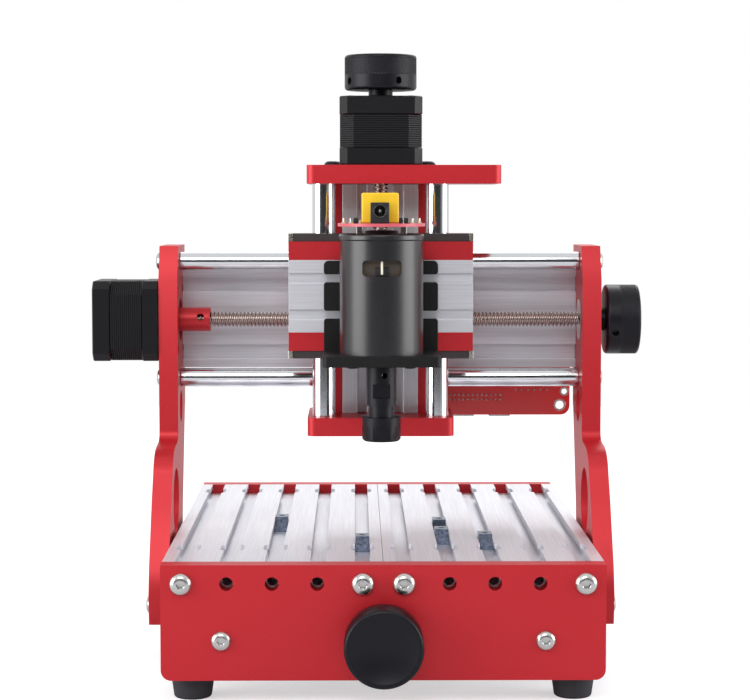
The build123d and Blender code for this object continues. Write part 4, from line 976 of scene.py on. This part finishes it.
class ROUTER_OT_spindle_board(Operator):
    """Fit the round suppressor board: capacitor, power socket, coils, solder joints and lugs."""

    bl_idname = "router.spindle_board"
    bl_label = "Spindle board"

    def execute(self, context):
        eased("spindle_board", FINISH["pale_mask"], 0.15)
        body = NODES["spindle_board"]["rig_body"]
        low, high = corners_of("spindle_board")
        centre = np.array([*(low + high)[:2] / 2, high[2]])
        self.capacitor(body, high[2])
        self.power_socket(body)
        self.joints(body, centre)
        self.coils(body, centre)
        return {"FINISHED"}

    def joints(self, body, centre):
        """Solder joints near the rim, and a strap down to the motor with a solder collar on each side."""
        pin = [(0, 0), (1.3, 0), (1.0, 0.5), (0.5, 1.4), (0.35, 2.6), (0, 2.7)]
        collar = [(0, 0), (2.4, 0), (2.0, 0.6), (1.2, 1.2), (0, 1.5)]
        ring_radius = 20.2
        surfaces = []
        for x in (-19.0, -15.5, 15.5, 19.0):
            depth = (ring_radius ** 2 - x ** 2) ** 0.5 / 2
            for y in (-depth, depth):
                surfaces.append(moved(lathe(np.array(pin) * MM, 16), centre + np.array([x, y, 0]) * MM))
        for x in (-11.0, 11.0):
            surfaces.append(block((3.0 * MM, 1.0 * MM, 7.6 * MM), 0.2 * MM,
                                  centre + np.array([x, 0, -2.2]) * MM))
            surfaces.append(moved(lathe(np.array(collar) * MM, 20), centre + np.array([x, 0, 0]) * MM))
        piece("spindle_board_joints", surfaces, body, [FINISH["tin"]])

    def coils(self, body, centre):
        """Small black parts beside the power socket."""
        surfaces = []
        for x, size in ((-12.8, 2.6), (9.4, 2.0), (12.0, 2.2)):
            surfaces.append(block((size * MM, 3.2 * MM, 2.8 * MM), 0.3 * MM,
                                  centre + np.array([x, -14.0, 1.4]) * MM))
        piece("spindle_board_coils", surfaces, body, [FINISH["abs_black"]])

    def capacitor(self, body, top):
        """Film capacitor: a boxed case with soft edges behind the power socket."""
        low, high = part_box("spindle_board_parts")
        size = (min(high.x - low.x, 18.6 * MM), high.y - low.y, high.z - top)
        centre = (middle("dc_jack")[0] + 0.3 * MM, (low.y + high.y) / 2, (top + high.z) / 2)
        piece("film_capacitor", [block(size, 0.6 * MM, centre, corner=0.8 * MM)], body,
              [FINISH["yellow"]], ["spindle_board_parts"])

    def power_socket(self, body):
        """Square moulding with a round mouth, a lined bore and a round pin."""
        eased("dc_jack", FINISH["abs_black"], 0.3)
        low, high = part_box("dc_jack")
        at = np.array(((low.x + high.x) / 2, low.y, low.z + 6.2 * MM))
        collar = tube(3.9 * MM, 3.15 * MM, -0.25 * MM, 1.0 * MM, 0.15 * MM, 40)
        lining = tube(3.2 * MM, 2.9 * MM, 1.2 * MM, 9.8 * MM, 0.1 * MM, 40, 1)
        pin = lathe(np.array([(0, 0.6), (0.55, 0.7), (1.0, 1.3), (1.0, 10.0), (0, 10.0)]) * MM, 24, 1)
        piece("power_socket_contacts", placed([collar, lining, pin], "Y", at), body,
              [FINISH["abs_black"], FINISH["tin"]])


class ROUTER_OT_retainers(Operator):
    """Finish the bearing retainers: dark laminate strips with bright steel ends."""

    bl_idname = "router.retainers"
    bl_label = "Bearing retainers"

    def execute(self, context):
        eased("slider_retainers", FINISH["laminate"], 0.25)
        ends = []
        for points in islands("slider_retainers"):
            low, high = points.min(0), points.max(0)
            size = (2.4 * MM, high[1] - low[1] + 0.8 * MM, high[2] - low[2] + 0.3 * MM)
            centre = (low + high) / 2
            for x in (low[0] - 0.9 * MM, high[0] + 0.9 * MM):
                ends.append(block(size, 0.3 * MM, (x, centre[1], centre[2])))
        piece("retainer_ends", ends, NODES["slider_retainers"]["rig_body"], [FINISH["tin"]])
        return {"FINISHED"}


class ROUTER_OT_control_board(Operator):
    """Fit out the control board: drivers with heat sinks, sockets, terminals, solder joints and hole rims."""

    bl_idname = "router.control_board"
    bl_label = "Control board"

    def execute(self, context):
        eased("control_board", FINISH["mask"], 0.15)
        body = NODES["control_board"]["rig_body"]
        low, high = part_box("control_board")
        self.joints(body, low, high)
        self.parts(body)
        return {"FINISHED"}

    def joints(self, body, low, high):
        """Rows of solder cones on the side towards the beam, and bright rims round the mounting holes."""
        cone = lathe(np.array([(0, 0), (0.85, 0), (0.55, 0.5), (0.3, 1.3), (0, 1.4)]) * MM, 10)
        surfaces = []
        for height, count, start, pitch in SOLDER_ROWS:
            for i in range(count):
                at = (low.x + (start + i * pitch) * MM, low.y, low.z + height * MM)
                surfaces += placed([cone], "Y", at, -1)
        inset = 5.5 * MM
        for x, z, radius in ((high.x - inset, low.z + inset, 2.3), (low.x + inset, low.z + inset, 2.3),
                             (high.x - 3.0 * MM, low.z + 13.0 * MM, 1.55)):
            rim = tube((radius + 1.0) * MM, radius * MM, -0.08 * MM, 1.68 * MM, 0.05 * MM, 40)
            surfaces += placed([rim], "Y", (x, low.y, z))
        piece("control_board_joints", surfaces, body, [FINISH["tin"]])

    def parts(self, body):
        """Each CAD block is refined in its own place: a round can, a finned heat sink when it is tall, a
        steel socket when it is less so, else a terminal, which is pale when it is narrow."""
        surfaces = []
        sink_height, socket_height, terminal_width, base = 17 * MM, 12 * MM, 10.5 * MM, 3.0 * MM
        for points in islands("board_parts"):
            low, high = points.min(0), points.max(0)
            size, centre = high - low, (low + high) / 2
            if abs(size[0] - size[2]) < 0.1 * MM:
                can = turned_bar(size[0] / 2, 0, size[1], 0.5 * MM, 40, 2)
                surfaces += placed([can], "Y", (centre[0], low[1], centre[2]))
            elif size[2] > sink_height:
                surfaces.append(block((size[0], base, size[2]), 0.2 * MM,
                                      (centre[0], low[1] + base / 2, centre[2]), 1))
                for z in np.linspace(low[2] + 0.9 * MM, high[2] - 0.9 * MM, 8):
                    surfaces.append(block((size[0], size[1] - base, 1.0 * MM), 0.2 * MM,
                                          (centre[0], centre[1] + base / 2, z), 1))
            elif size[2] > socket_height:
                surfaces.append(block(size, 0.4 * MM, centre, 2))
            else:
                surfaces.append(block(size, 0.4 * MM, centre, 3 if size[0] < terminal_width else 0))
        piece("board_parts_built", surfaces, body,
              [FINISH["abs_black"], FINISH["silver_Z"], FINISH["zinc"], FINISH["abs_white"]], ["board_parts"])


class ROUTER_PT_panel(Panel):
    """Sidebar panel that lists every step."""

    bl_idname = "ROUTER_PT_panel"
    bl_label = "CNC Router"
    bl_space_type = "VIEW_3D"
    bl_region_type = "UI"
    bl_category = "CNC Router"

    def draw(self, context):
        layout = self.layout
        for group in (context.scene.router_sizes, context.scene.router_colours):
            box = layout.box()
            for key in group.__annotations__:
                box.prop(group, key)
        for step in STEPS:
            layout.operator(step.bl_idname)


STEPS = (ROUTER_OT_stage, ROUTER_OT_red_plates, ROUTER_OT_extrusions, ROUTER_OT_fasteners, ROUTER_OT_rods,
         ROUTER_OT_lead_screws, ROUTER_OT_handwheels, ROUTER_OT_motors, ROUTER_OT_couplings, ROUTER_OT_feet,
         ROUTER_OT_spindle, ROUTER_OT_spindle_board, ROUTER_OT_retainers, ROUTER_OT_control_board)
CLASSES = (RouterSizes, RouterColours, *STEPS, ROUTER_PT_panel)


def register():
    """Registers every class and hangs both groups of settings on the scene."""
    for item in CLASSES:
        bpy.utils.register_class(item)
    bpy.types.Scene.router_sizes = PointerProperty(type=RouterSizes)
    bpy.types.Scene.router_colours = PointerProperty(type=RouterColours)


def unregister():
    """Takes back everything that register adds."""
    del bpy.types.Scene.router_colours
    del bpy.types.Scene.router_sizes
    for item in reversed(CLASSES):
        bpy.utils.unregister_class(item)


def main():
    """Runs every step in order."""
    register()
    FINISH.update(build_materials(bpy.context.scene.router_colours))
    for step in STEPS:
        group, name = step.bl_idname.split(".")
        getattr(getattr(bpy.ops, group), name)()


if __name__ == "__main__":
    main()
